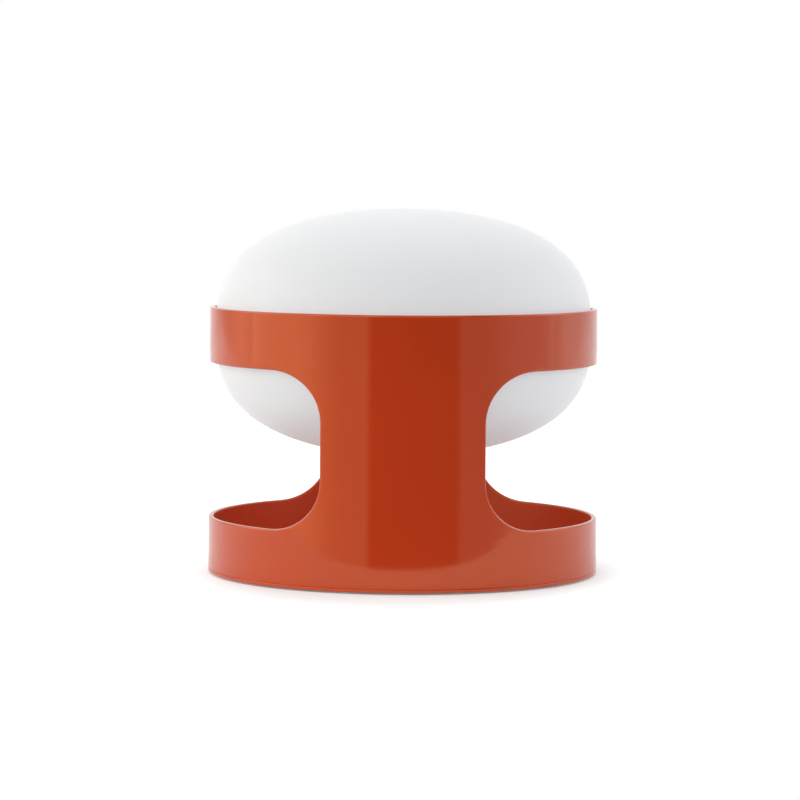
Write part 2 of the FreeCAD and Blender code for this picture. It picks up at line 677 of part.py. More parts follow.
def make_holder_screw_shell():
    """Brass socket with the inside thread for the bulb."""
    high = CORE_TOP + SOCKET_HEIGHT
    floor = CORE_TOP + SOCKET_FLOOR
    shell = lathe([
        (SOCKET_BORE - SOCKET_LIP, CORE_TOP),
        (SOCKET_RADIUS, CORE_TOP),
        (SOCKET_RADIUS, high),
        (SOCKET_BORE, high),
        (SOCKET_BORE, floor),
        (SOCKET_BORE - SOCKET_LIP, floor),
    ])
    ridge = thread(SOCKET_BORE, THREAD_BEAD, THREAD_PITCH, BULB_CAP_LOW, high, THREAD_PITCH / 2)
    return shell.fuse(ridge)


def make_holder_centre_contact():
    """Spring tongue that presses on the bulb's tip."""
    high = CORE_TOP + CONTACT_RISE
    half = CONTACT_WIDTH / 2
    strip = outline([
        (-CONTACT_REACH, CORE_TOP),
        (-half, CORE_TOP),
        (0, high - CONTACT_STRIP),
        (half, high - CONTACT_STRIP),
        (half, high),
        (-CONTACT_STRIP, high),
        (-half - CONTACT_STRIP, CORE_TOP + CONTACT_STRIP),
        (-CONTACT_REACH, CORE_TOP + CONTACT_STRIP),
    ])
    tongue = Part.Face(strip).extrude(FRONT_TO_BACK * CONTACT_WIDTH)
    tongue.translate(FRONT_TO_BACK * -half)
    return tongue


def make_holder_terminals():
    """Two brass terminals under the core, each with a bore for its lead."""
    half = TERMINAL_SIZE / 2
    blocks = []
    for x in (-TERMINAL_OFFSET, TERMINAL_OFFSET):
        block = box(x - half, x + half, -half, half, TERMINAL_LOW, CORE_LOW)
        block = block.cut(cylinder(TERMINAL_BORE, TERMINAL_LOW, TERMINAL_LOW + half, x, 0))
        face = Vector(x, -half, TERMINAL_LOW + half / 2)
        thread_hole = Part.makeCylinder(TERMINAL_SCREW_RADIUS + THREAD_GAP, half, face, FRONT_TO_BACK)
        blocks.append(block.cut(thread_hole))
    return Part.makeCompound(blocks)


def make_holder_terminal_screws():
    """Screws that clamp the leads in the lampholder's terminals."""
    half = TERMINAL_SIZE / 2
    screws = []
    for x in (-TERMINAL_OFFSET, TERMINAL_OFFSET):
        face = Vector(x, -half, TERMINAL_LOW + half / 2)
        shank = Part.makeCylinder(TERMINAL_SCREW_RADIUS, half - LEAD_RADIUS, face, FRONT_TO_BACK)
        head_start = face - FRONT_TO_BACK * TERMINAL_SCREW_HEAD
        head = Part.makeCylinder(TERMINAL_SCREW_HEAD_RADIUS, TERMINAL_SCREW_HEAD, head_start, FRONT_TO_BACK)
        screws.append(shank.fuse(head))
    return Part.makeCompound(screws)


def bowl_curve(half_width, half_height, end_radius, side):
    """Superellipse from the joint plane to an end radius, above (side 1) or below (side -1) the plane."""
    end_height = bowl_height(end_radius, half_width, half_height)
    end_angle = math.asin(end_height / half_height)
    points = []
    for step in range(CURVE_STEPS + 1):
        height = half_height * math.sin(end_angle * step / CURVE_STEPS)
        radius = bowl_radius(min(height, half_height), half_width, half_height)
        points.append(Vector(radius, 0, JOINT_HEIGHT + side * height))
    lean = end_radius / half_width
    drop = half_height / half_width * RADIUS_POWER / HEIGHT_POWER * lean ** (RADIUS_POWER - 1)
    drop *= (1 - lean ** RADIUS_POWER) ** (1 / HEIGHT_POWER - 1)
    curve = Part.BSplineCurve()
    start = Vector(0, 0, side)
    end = Vector(-1, 0, side * drop)
    curve.interpolate(Points=points, InitialTangent=start, FinalTangent=end)
    return curve.toShape()


def turned_face(edges):
    """Solid turned about the axis from edges that close an outline."""
    return Part.Face(Part.Wire(edges)).revolve(CENTRE, AXIS, 360)


def make_upper_diffuser():
    """Opal dome with a rebate that drops over the lip of the lower half."""
    crown = JOINT_HEIGHT + DIFFUSER_HALF_HEIGHT
    inner_crown = JOINT_HEIGHT + INNER_HALF_HEIGHT
    dome = turned_face([
        bowl_curve(DIFFUSER_RADIUS, DIFFUSER_HALF_HEIGHT, 0, 1),
        Part.makeLine(Vector(0, 0, crown), Vector(0, 0, inner_crown)),
        bowl_curve(INNER_RADIUS, INNER_HALF_HEIGHT, 0, 1),
        Part.makeLine(Vector(INNER_RADIUS, 0, JOINT_HEIGHT), Vector(DIFFUSER_RADIUS, 0, JOINT_HEIGHT)),
    ])
    rebate = cylinder(INNER_RADIUS + LIP_WALL + LIP_GAP, JOINT_HEIGHT, JOINT_HEIGHT + LIP_HEIGHT + LIP_GAP)
    return dome.cut(rebate)


def make_lower_diffuser():
    """Opal bowl with a flat seat, a hole for the lampholder and a lip at its rim."""
    inner_end = bowl_radius(JOINT_HEIGHT - BOWL_FLOOR, INNER_RADIUS, INNER_HALF_HEIGHT)
    lip_top = JOINT_HEIGHT + LIP_HEIGHT
    lip_radius = INNER_RADIUS + LIP_WALL
    rim = [
        (DIFFUSER_RADIUS, JOINT_HEIGHT),
        (lip_radius, JOINT_HEIGHT),
        (lip_radius, lip_top),
        (INNER_RADIUS, lip_top),
        (INNER_RADIUS, JOINT_HEIGHT),
    ]
    seat = [
        (inner_end, BOWL_FLOOR),
        (HOLDER_HOLE, BOWL_FLOOR),
        (HOLDER_HOLE, SEAT_HEIGHT),
        (SEAT_RADIUS, SEAT_HEIGHT),
    ]
    edges = [bowl_curve(DIFFUSER_RADIUS, DIFFUSER_HALF_HEIGHT, SEAT_RADIUS, -1)]
    edges.append(bowl_curve(INNER_RADIUS, INNER_HALF_HEIGHT, inner_end, -1))
    for run in (rim, seat):
        for (r0, z0), (r1, z1) in zip(run, run[1:]):
            edges.append(Part.makeLine(Vector(r0, 0, z0), Vector(r1, 0, z1)))
    return turned_face(Part.__sortEdges__(edges))


def make_bulb_tip():
    """End contact of the bulb."""
    return lathe([
        (0, TIP_LOW),
        (BULB_TIP_RADIUS, TIP_LOW, BULB_TIP_HEIGHT / 2),
        (BULB_TIP_RADIUS, INSULATOR_LOW),
        (0, INSULATOR_LOW),
    ])


def make_bulb_insulator():
    """Insulating cone between tip and cap."""
    return lathe([
        (0, INSULATOR_LOW),
        (BULB_TIP_RADIUS, INSULATOR_LOW),
        (BULB_ROOT_RADIUS - BULB_CAP_WALL, BULB_CAP_LOW),
        (0, BULB_CAP_LOW),
    ])


def make_bulb_cap():
    """Threaded metal cap of the bulb, closed below by a floor."""
    inner = BULB_ROOT_RADIUS - BULB_CAP_WALL
    cap = lathe([
        (0, BULB_CAP_LOW),
        (BULB_ROOT_RADIUS, BULB_CAP_LOW, BULB_CAP_WALL / 2),
        (BULB_ROOT_RADIUS, BULB_CAP_TOP),
        (inner, BULB_CAP_TOP),
        (inner, BULB_CAP_LOW + BULB_CAP_WALL),
        (0, BULB_CAP_LOW + BULB_CAP_WALL),
    ])
    return cap.fuse(thread(BULB_ROOT_RADIUS, THREAD_BEAD, THREAD_PITCH, BULB_CAP_LOW, BULB_CAP_TOP))


def collar_corners(wall):
    """Outline corners of the bulb's body, or of its hollow a wall further in."""
    waist = BULB_CAP_TOP + COLLAR_WAIST_RISE
    foot = BULB_ROOT_RADIUS + THREAD_BEAD - wall
    return [
        (0, BULB_CAP_TOP),
        (foot, BULB_CAP_TOP),
        (foot, waist, COLLAR_ROUND / 2 + wall),
        (COLLAR_TOP_RADIUS - wall, COLLAR_TOP - COLLAR_ROUND / 2, COLLAR_ROUND - wall),
        (COLLAR_TOP_RADIUS - wall, COLLAR_TOP),
        (0, COLLAR_TOP),
    ]


def make_bulb_collar():
    """White tapered body of the bulb."""
    return lathe(collar_corners(0)).cut(lathe(collar_corners(COLLAR_WALL)))


def make_bulb_globe():
    """Opal cover of the bulb, a ball that ends on the collar's rim."""
    centre = Vector(0, 0, GLOBE_CENTRE)
    ball = Part.makeSphere(GLOBE_RADIUS, centre).cut(Part.makeSphere(GLOBE_RADIUS - GLOBE_WALL, centre))
    return ball.cut(cylinder(GLOBE_RADIUS + GLOBE_WALL, GLOBE_CENTRE - 2 * GLOBE_RADIUS, COLLAR_TOP))


def make_bulb_board():
    """Round LED board in the mouth of the collar."""
    return cylinder(COLLAR_TOP_RADIUS - COLLAR_WALL - FIT_GAP, BOARD_TOP - BOARD_THICKNESS, BOARD_TOP)


def make_bulb_leds():
    """Ring of LEDs on the board."""
    half = LED_SIZE / 2
    led = box(LED_CIRCLE - half, LED_CIRCLE + half, -half, half, BOARD_TOP, BOARD_TOP + LED_HEIGHT)
    return Part.makeCompound([turned(led, 360 / LED_COUNT * index) for index in range(LED_COUNT)])


def make_bulb_driver():
    """Driver board that hangs from the LED board, with its tall component."""
    top = BOARD_TOP - BOARD_THICKNESS
    half = DRIVER_WIDTH / 2
    low = top - DRIVER_HEIGHT
    board = box(-half, half, -DRIVER_THICKNESS / 2, DRIVER_THICKNESS / 2, low, top)
    part = cylinder(DRIVER_PART_DEPTH / 2, low + DRIVER_HEIGHT / 3, top - FIT_GAP, 0, DRIVER_PART_DEPTH / 2)
    return board.fuse(part)


PIECES = {
    "body_shell": make_body_shell,
    "base_disc": make_base_disc,
    "rubber_feet": make_rubber_feet,
    "ballast_plate": make_ballast_plate,
    "base_pedestal": make_base_pedestal,
    "shell_screws": lambda: make_screws(SHELL_SCREW_LENGTH, BOSS_PLACES),
    "pedestal_screws": lambda: make_screws(PEDESTAL_SCREW_LENGTH, PILLAR_PLACES),
    "cord_gland": make_cord_gland,
    "terminal_block": make_terminal_block,
    "terminal_sleeves": make_terminal_sleeves,
    "terminal_screws": make_terminal_screws,
    "block_screw": make_block_screw,
    "live_lead": lambda: make_lead(-1),
    "neutral_lead": lambda: make_lead(1),
    "holder_cap": make_holder_cap,
    "holder_skirt": make_holder_skirt,
    "holder_core": make_holder_core,
    "holder_screw_shell": make_holder_screw_shell,
    "holder_centre_contact": make_holder_centre_contact,
    "holder_terminals": make_holder_terminals,
    "holder_terminal_screws": make_holder_terminal_screws,
    "shade_ring": make_shade_ring,
    "seat_gasket": make_seat_gasket,
    "lower_diffuser": make_lower_diffuser,
    "upper_diffuser": make_upper_diffuser,
    "bulb_globe": make_bulb_globe,
    "bulb_collar": make_bulb_collar,
    "bulb_cap": make_bulb_cap,
    "bulb_insulator": make_bulb_insulator,
    "bulb_tip": make_bulb_tip,
    "bulb_board": make_bulb_board,
    "bulb_leds": make_bulb_leds,
    "bulb_driver": make_bulb_driver,
}

os.makedirs("parts", exist_ok=True)
for name, make in PIECES.items():
    shape = make()
    print(name, len(shape.Solids), "valid" if shape.isValid() else "NOT VALID", round(shape.Volume, 1))
    shape.exportStep("parts/" + name + ".step")
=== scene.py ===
import logging
import math
from dataclasses import dataclass, field, replace
from enum import Enum
from functools import cache
from typing import Callable, Sequence

import bmesh
import bpy
import numpy as np
from mathutils import Matrix, Vector


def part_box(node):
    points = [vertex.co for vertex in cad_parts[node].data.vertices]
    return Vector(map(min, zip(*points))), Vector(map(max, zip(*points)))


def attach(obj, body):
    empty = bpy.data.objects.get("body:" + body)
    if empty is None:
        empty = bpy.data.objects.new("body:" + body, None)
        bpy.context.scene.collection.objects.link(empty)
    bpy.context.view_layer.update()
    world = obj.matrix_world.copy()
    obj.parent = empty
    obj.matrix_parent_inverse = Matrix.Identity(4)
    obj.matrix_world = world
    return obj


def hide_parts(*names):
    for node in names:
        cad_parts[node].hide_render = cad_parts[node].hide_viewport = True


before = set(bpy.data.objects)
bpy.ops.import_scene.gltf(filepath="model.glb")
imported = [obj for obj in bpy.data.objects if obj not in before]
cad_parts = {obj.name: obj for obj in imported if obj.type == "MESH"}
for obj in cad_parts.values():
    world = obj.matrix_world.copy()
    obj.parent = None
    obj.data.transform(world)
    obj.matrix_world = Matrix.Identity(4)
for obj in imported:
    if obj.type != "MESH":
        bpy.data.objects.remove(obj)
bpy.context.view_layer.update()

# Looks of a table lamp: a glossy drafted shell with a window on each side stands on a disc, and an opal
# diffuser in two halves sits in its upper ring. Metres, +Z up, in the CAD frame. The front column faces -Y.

log = logging.getLogger("table_lamp")

Array = np.ndarray
Colour = tuple[float, float, float]
Corner = tuple[float, ...]
Spot = tuple[float, float]
Range = tuple[float, float]
Swell = Callable[[Array, Array], Array]
Socket = bpy.types.NodeSocket
Piece = bpy.types.Object
Inputs = dict[str | int, object]

MM = 0.001
WELD = 0.002 * MM
SUPPORT = 0.5 * MM
SHARP_EDGE = math.radians(38)
ARC_STEPS = 6
LATHE_STEPS = 192
ROUND_STEPS = 48
FINE_STEPS = 64
BORE_STEPS = 32
MIRROR = np.array([-1.0, 1.0, 1.0])
HALF_TURN = np.array([-1.0, -1.0, 1.0])
FULL_TURN = 360.0
BACK_AND_FRONT = (90.0, 270.0)
QUARTERS = (45.0, 135.0, 225.0, 315.0)

# Sizes that several parts share
PILLAR_CIRCLE = 41.0 * MM
HOLDER_HOLE = 20.4 * MM
CAP_BEAD = 0.95 * MM
CAP_PITCH = 25.4 / 7 * MM
THREAD_ROW = 0.25 * MM


class Body(Enum):
    """The bodies of the CAD frame that pieces ride on."""

    STAND = "stand"
    DOME = "dome"
    BULB_GLASS = "bulb_glass"
    BULB_BASE = "bulb_base"


class Carve(Enum):
    """How a tool solid acts on a piece."""

    AWAY = "DIFFERENCE"
    ON = "UNION"


class Turn(Enum):
    """Axis that a profile is turned about."""

    UPRIGHT = "upright"
    FRONT_TO_BACK = "front_to_back"


# Surfaces

class Skin:
    """Grids of points that are sewn along their edges into one mesh."""

    def __init__(self) -> None:
        """Start with no grid."""
        self.points: list[Array] = []
        self.quads: list[Array] = []
        self.count = 0

    def add(self, grid: Array, around: bool = False) -> "Skin":
        """Add a grid, whose neighbouring points span one quad each.

        Args:
            grid: Points in rows and columns, shape (rows, columns, 3).
            around: Whether the last column joins the first.

        Returns:
            The skin itself.
        """
        rows, columns = grid.shape[:2]
        index = np.arange(rows * columns).reshape(rows, columns) + self.count
        if around:
            index = np.concatenate([index, index[:, :1]], axis=1)
        quads = np.stack([index[:-1, :-1], index[:-1, 1:], index[1:, 1:], index[1:, :-1]], axis=-1)
        self.points.append(grid.reshape(-1, 3))
        self.quads.append(quads.reshape(-1, 4))
        self.count += rows * columns
        return self

    def add_all(self, grids: Sequence[Array], around: bool = False) -> "Skin":
        """Add several grids.

        Args:
            grids: The grids.
            around: Whether the last column of each joins its first.

        Returns:
            The skin itself.
        """
        for grid in grids:
            self.add(grid, around)
        return self

    def sew(self, name: str) -> Piece:
        """Weld the grids' shared points, turn all faces outward and smooth all but the sharp edges.

        Args:
            name: Name of the object.

        Returns:
            The mesh object, at the origin.
        """
        mesh = bpy.data.meshes.new(name)
        mesh.from_pydata(np.concatenate(self.points), [], np.concatenate(self.quads))
        sheet = bmesh.new()
        sheet.from_mesh(mesh)
        bmesh.ops.remove_doubles(sheet, verts=sheet.verts, dist=WELD)
        bmesh.ops.dissolve_degenerate(sheet, edges=sheet.edges, dist=WELD / 2)
        bmesh.ops.recalc_face_normals(sheet, faces=sheet.faces)
        sheet.to_mesh(mesh)
        sheet.free()
        piece = bpy.data.objects.new(name, mesh)
        bpy.context.scene.collection.objects.link(piece)
        smooth(piece)
        return piece


def smooth(piece: Piece) -> None:
    """Smooth a piece's shading, except across its sharp edges."""
    piece.data.polygons.foreach_set("use_smooth", np.ones(len(piece.data.polygons), dtype=bool))
    piece.data.set_sharp_from_angle(angle=SHARP_EDGE)


def carve(piece: Piece, tool: Piece, how: Carve) -> None:
    """Cut a tool solid out of a piece, or join it on, and drop the tool.

    Args:
        piece: The piece that changes.
        tool: The solid that acts on it.
        how: Whether the tool is taken away or joined on.
    """
    step = piece.modifiers.new("carve", "BOOLEAN")
    step.object = tool
    step.operation = how.value
    step.solver = "EXACT"
    graph = bpy.context.evaluated_depsgraph_get()
    carved = bpy.data.meshes.new_from_object(piece.evaluated_get(graph))
    carved.name = piece.name
    piece.modifiers.clear()
    piece.data = carved
    bpy.data.objects.remove(tool)
    smooth(piece)


def unit(vectors: Array) -> Array:
    """Vectors along the last axis, scaled to length one."""
    return vectors / np.linalg.norm(vectors, axis=-1, keepdims=True)


def arc(start: Array, end: Array, shares: Array) -> Array:
    """Unit vectors on the great arc from one to another.

    The vector at share s is (sin((1 - s) w) start + sin(s w) end) / sin w, where w is the angle between them.

    Args:
        start: First unit vectors, shape (..., n).
        end: Last unit vectors, same shape.
        shares: Shares of the way, shape (m,).

    Returns:
        Vectors of shape (m, ..., n).
    """
    angle = np.arccos(np.clip(np.sum(start * end, axis=-1, keepdims=True), -1, 1))
    part = shares.reshape((-1,) + (1,) * start.ndim)
    return (np.sin((1 - part) * angle) * start + np.sin(part * angle) * end) / np.sin(angle)


def rounded_line(corners: Sequence[Corner], closed: bool = True, steps: int = ARC_STEPS) -> Array:
    """Line of radius and height through corners, each rounding an arc tangent to its two straight runs.

    A run carries a support point near each end, so that smooth shading stays flat between the arcs.

    Args:
        corners: (radius, height) or (radius, height, rounding) of each corner.
        closed: Whether the line ends where it starts.
        steps: Steps in each arc.

    Returns:
        Points of shape (n, 2).
    """
    spots = np.array([corner[:2] for corner in corners])
    stretches: list[Array] = []
    for place, corner in enumerate(corners):
        here = spots[place]
        if len(corner) < 3:
            stretches.append(here[None])
            continue
        back = unit(spots[place - 1] - here)
        on = unit(spots[(place + 1) % len(corners)] - here)
        half = math.acos(float(np.clip(back @ on, -1, 1))) / 2
        centre = here + unit(back + on) * corner[2] / math.sin(half)
        reach = corner[2] / math.tan(half)
        first, last = unit(here + back * reach - centre), unit(here + on * reach - centre)
        stretches.append(centre + corner[2] * arc(first, last, np.linspace(0, 1, steps + 1)))
    line: list[Array] = []
    for place, stretch in enumerate(stretches):
        line.append(stretch)
        if place + 1 == len(stretches) and not closed:
            break
        gap = stretches[(place + 1) % len(stretches)][0] - stretch[-1]
        run = np.linalg.norm(gap)
        inset = min(SUPPORT, run / 4) / max(run, WELD)
        line.append(stretch[-1] + gap * np.array([[inset], [1 - inset]]))
    if closed:
        line.append(stretches[0][:1])
    return np.concatenate(line)


def lathe(line: Array, steps: int = LATHE_STEPS, swell: Swell | None = None) -> Array:
    """Surface (r cos a, r sin a, z) of a line of radius and height, turned by a once round the upright axis.

    Args:
        line: Radius and height, shape (n, 2).
        steps: Steps round the axis.
        swell: Radius to add at an angle and a height, such as a thread.

    Returns:
        Grid of shape (n, steps, 3).
    """
    angle = np.linspace(0, 2 * np.pi, steps, endpoint=False)[None, :]
    height = np.broadcast_to(line[:, 1:], (len(line), steps))
    radius = np.broadcast_to(line[:, :1], (len(line), steps))
    if swell is not None:
        radius = radius + swell(np.broadcast_to(angle, radius.shape), height)
    return np.stack([radius * np.cos(angle), radius * np.sin(angle), height], axis=-1)


def laid(grid: Array, turn: Turn = Turn.UPRIGHT, at: Corner = (0.0, 0.0, 0.0)) -> Array:
    """Grid turned to an axis and moved to a place.

    Args:
        grid: Points made about the upright axis.
        turn: Axis that the upright one becomes.
        at: Place that the origin moves to.

    Returns:
        The moved grid.
    """
    if turn is Turn.FRONT_TO_BACK:
        grid = np.stack([grid[..., 0], grid[..., 2], -grid[..., 1]], axis=-1)
    return grid + np.array(at)


def mm(*corners: Corner) -> list[Corner]:
    """Corners given in millimetres, in metres."""
    return [tuple(value * MM for value in corner) for corner in corners]


def refined(line: Array, step: float) -> Array:
    """Line with points added by linear interpolation over its length, so that no run is longer than a step.

    Args:
        line: Points of the line, shape (n, 2).
        step: Longest run.

    Returns:
        The line's own points and those between them.
    """
    length = np.concatenate([[0.0], np.cumsum(np.linalg.norm(np.diff(line, axis=0), axis=-1))])
    at = np.union1d(length, np.arange(0.0, length[-1], step))
    return np.stack([np.interp(at, length, line[:, axis]) for axis in (0, 1)], axis=-1)


def filled(loop: Array) -> Array:
    """Fan of a closed loop of points about their mean."""
    return np.stack([loop, np.broadcast_to(loop[:-1].mean(0), loop.shape)])


def prism(section: Array, along: Corner) -> list[Array]:
    """Section carried straight along a vector, with both ends filled.

    Args:
        section: Points round the section, shape (n, 3), the last one the first again.
        along: Vector from the first end to the second.

    Returns:
        Grids of the side and of both ends.
    """
    side = np.stack([section, section + np.array(along)])
    return [side, filled(side[0]), filled(side[1])]


def spots_on_circle(radius: float, degrees: Sequence[float]) -> list[Spot]:
    """Places on a circle about the lamp's axis, at angles from +X."""
    return [(radius * math.cos(math.radians(a)), radius * math.sin(math.radians(a))) for a in degrees]


def rod(radius: float, low: float, high: float) -> Array:
    """Line of a plain rod, from axis to axis."""
    return np.array([(0.0, low), (radius, low), (radius, high), (0.0, high)])


def span(node: str) -> Range:
    """Lowest and highest height of a CAD node."""
    low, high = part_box(node)
    return low.z, high.z


def sewn(name: str, *grids: Array) -> Piece:
    """Object of grids that each close round an axis."""
    return Skin().add_all(grids, around=True).sew(name)


def repeated(name: str, line: Array, spots: Sequence[Spot], steps: int = ROUND_STEPS) -> Piece:
    """One line turned about an upright axis at each of several places.

    Args:
        name: Name of the object.
        line: Radius and height, shape (n, 2).
        spots: x and y of each axis.
        steps: Steps round each axis.

    Returns:
        One object with a closed shell at each place.
    """
    return sewn(name, *[laid(lathe(line, steps), at=(*spot, 0.0)) for spot in spots])


@dataclass(frozen=True)
class Thread:
    """Round helical ridge of height sqrt(bead^2 - d^2), where d is the height above or below the helix."""

    bead: float
    pitch: float
    low: float
    high: float
    phase: float = 0.0
    inward: bool = False

    def __call__(self, angle: Array, height: Array) -> Array:
        """Height of the ridge at each angle and height, faded out over a bead at either end.

        Args:
            angle: Angles round the axis.
            height: Heights, same shape.

        Returns:
            Radius to add.
        """
        climb = height - self.phase - self.pitch * angle / (2 * np.pi)
        away = np.mod(climb + self.pitch / 2, self.pitch) - self.pitch / 2
        ridge = np.sqrt(np.maximum(self.bead ** 2 - away ** 2, 0))
        centre = height - away
        inside = np.minimum(centre - self.low, self.high - centre) / self.bead - 1
        return (-1 if self.inward else 1) * ridge * np.clip(inside, 0, 1)


# Finishes

NOISE_RANGE: Range = (0.2, 0.8)
DRIFT_DETAIL = 2.0
GRAIN_DETAIL = 3.0
SCATTER: Colour = (1.0, 0.95, 0.9)
INWARD = -0.7

# Numbers of the colour sockets of a mix node
MIX_DARK, MIX_LIGHT, MIX_RESULT = 6, 7, 2


class Nodes:
    """Short ways to place and join the nodes of a tree."""

    def __init__(self, owner: bpy.types.ID) -> None:
        """Open the node tree of a material or a world."""
        owner.use_nodes = True
        self.tree = owner.node_tree

    def put(self, kind: str, values: Inputs | None = None, **settings: object) -> bpy.types.NodeOutputs:
        """Add a shader node.

        Args:
            kind: The kind of node.
            values: A socket or a plain value for each input, by its name or number.
            settings: Settings of the node by name.

        Returns:
            The node's outputs.
        """
        node = self.tree.nodes.new("ShaderNode" + kind)
        for key, value in settings.items():
            setattr(node, key, value)
        self.feed(node, values or {})
        return node.outputs

    def feed(self, node: bpy.types.Node, values: Inputs) -> None:
        """Join sockets to a node's inputs, or set the inputs.

        Args:
            node: The node.
            values: A socket or a plain value for each input, by its name or number.
        """
        for key, value in values.items():
            if isinstance(value, Socket):
                self.tree.links.new(value, node.inputs[key])
            else:
                node.inputs[key].default_value = value

    def reckon(self, kind: str, *values: Socket | float) -> Socket:
        """Result of a sum of a kind on sockets or numbers."""
        return self.put("Math", dict(enumerate(values)), operation=kind)[0]

    def ranged(self, source: Socket, ends: Range, to: Range = (0.0, 1.0), kind: str = "LINEAR") -> Socket:
        """Value spread from one range over another.

        Args:
            source: The value.
            ends: Range that it comes from.
            to: Range that it goes to.
            kind: Interpolation between the ends.

        Returns:
            The new value.
        """
        names = ("Value", "From Min", "From Max", "To Min", "To Max")
        values = dict(zip(names, (source, *ends, *to)))
        return self.put("MapRange", values, interpolation_type=kind)["Result"]


class Graph(Nodes):
    """Nodes of a material with its principled shader, on the piece's own coordinates."""

    def __init__(self, name: str) -> None:
        """Open a new material."""
        self.material = bpy.data.materials.new(name)
        super().__init__(self.material)
        self.shader = self.tree.nodes["Principled BSDF"]
        self.place = self.put("TexCoord")["Object"]

    def noise(self, cell: float, detail: float, stretch: Corner) -> Socket:
        """Noise whose lumps are about a cell across.

        Args:
            cell: Size of a lump in metres.
            detail: Octaves of finer lumps.
            stretch: Scale of the coordinates along each axis.

        Returns:
            The noise value.
        """
        at = self.put("Mapping", {"Scale": stretch, "Vector": self.place})["Vector"]
        return self.put("TexNoise", {"Scale": 1 / cell, "Detail": detail, "Vector": at})["Fac"]

    def blend(self, source: Socket, dark: Colour, light: Colour) -> Socket:
        """Noise turned into a blend of two colours.

        Args:
            source: The noise value.
            dark: Colour where the noise is low.
            light: Colour where it is high.

        Returns:
            The colour.
        """
        share = self.ranged(source, NOISE_RANGE)
        values = {"Factor": share, MIX_DARK: (*dark, 1.0), MIX_LIGHT: (*light, 1.0)}
        return self.put("Mix", values, data_type="RGBA")[MIX_RESULT]


@dataclass(frozen=True)
class Finish:
    """A surface of one material slot, with drifting colour, drifting gloss, a fine relief and, where given, a
    painted glow.
    """

    name: str
    slot: str
    dark: Colour
    light: Colour
    drift: float
    gloss: Range
    grain: float
    relief: float
    metal: float = 0.0
    specular: float = 0.5
    tint: Colour = (1.0, 1.0, 1.0)
    depth: float = 0.0
    painted_glow: Colour | None = None
    stretch: Corner = (1.0, 1.0, 1.0)

    @cache
    def make(self) -> bpy.types.Material:
        """Build the material once, and give the same one to every later piece.

        Returns:
            The material.
        """
        graph = Graph(self.name)
        slow = graph.noise(self.drift, DRIFT_DETAIL, self.stretch)
        fine = graph.noise(self.grain, GRAIN_DETAIL, self.stretch)
        values = {
            "Base Color": graph.blend(slow, self.dark, self.light),
            "Roughness": graph.ranged(slow, NOISE_RANGE, self.gloss),
            "Normal": graph.put("Bump", {"Distance": self.relief, "Height": fine})["Normal"],
            "Metallic": self.metal,
            "Specular IOR Level": self.specular,
            "Specular Tint": (*self.tint, 1.0),
        }
        if self.depth:
            values |= {"Subsurface Weight": 1.0, "Subsurface Radius": SCATTER, "Subsurface Scale": self.depth}
        # Painted glow: an even emission on a part that is no light source, standing in for light that passes
        # through it.
        if self.painted_glow:
            values |= {"Emission Color": (*self.painted_glow, 1.0), "Emission Strength": 1.0}
            graph.material.cycles.emission_sampling = "NONE"
        graph.feed(graph.shader, values)
        return graph.material


ORANGE = Finish(
    "orange_gloss", "orange_abs", dark=(0.486, 0.0445, 0.0107), light=(0.520, 0.0475, 0.0114),
    drift=70 * MM, gloss=(0.055, 0.085), grain=1.4 * MM, relief=0.0016 * MM, specular=1.0,
    tint=(1.0, 0.66, 0.41),
)
# Painted light: a lighter copy of the orange, given to the faces inside the shell so that they look more
# brightly lit; it is also rougher.
ORANGE_INSIDE_PAINTED_LIGHT = replace(
    ORANGE, name="orange_satin_painted_light", dark=(0.590, 0.0570, 0.0130), light=(0.630, 0.0608, 0.0138),
    gloss=(0.36, 0.44), relief=0.004 * MM,
)
# Painted glow: the opal's base colour is darkened and an even emission is added, so the unlit diffuser looks
# lit from within and its shading is flattened.
OPAL = Finish(
    "opal_satin_painted_glow", "opal_acrylic", dark=(0.465, 0.467, 0.471), light=(0.475, 0.476, 0.478),
    drift=60 * MM, gloss=(0.45, 0.52), grain=0.7 * MM, relief=0.002 * MM, specular=0.2, depth=4 * MM,
    painted_glow=(0.318, 0.326, 0.339),
)
RUBBER = Finish(
    "rubber_matt", "black_rubber", dark=(0.012, 0.012, 0.012), light=(0.03, 0.03, 0.03),
    drift=4 * MM, gloss=(0.7, 0.9), grain=0.35 * MM, relief=0.02 * MM, specular=0.3,
)
BLACK_NYLON = Finish(
    "nylon_black", "black_nylon", dark=(0.018, 0.018, 0.019), light=(0.03, 0.03, 0.031),
    drift=5 * MM, gloss=(0.42, 0.55), grain=0.3 * MM, relief=0.008 * MM,
)
WHITE_NYLON = Finish(
    "nylon_white", "white_nylon", dark=(0.70, 0.69, 0.66), light=(0.78, 0.77, 0.74),
    drift=12 * MM, gloss=(0.32, 0.42), grain=0.35 * MM, relief=0.004 * MM,
)
ZINC = Finish(
    "zinc_plate", "zinc_steel", dark=(0.50, 0.51, 0.53), light=(0.66, 0.66, 0.66),
    drift=3 * MM, gloss=(0.24, 0.38), grain=0.3 * MM, relief=0.003 * MM, metal=1.0,
)
BRASS = Finish(
    "brass_plain", "brass", dark=(0.62, 0.42, 0.15), light=(0.78, 0.57, 0.24),
    drift=5 * MM, gloss=(0.18, 0.32), grain=0.25 * MM, relief=0.002 * MM, metal=1.0,
)
NICKEL = Finish(
    "nickel_plate", "nickel_brass", dark=(0.58, 0.56, 0.51), light=(0.72, 0.70, 0.66),
    drift=6 * MM, gloss=(0.14, 0.24), grain=0.25 * MM, relief=0.001 * MM, metal=1.0, stretch=(0.2, 0.2, 2.0),
)
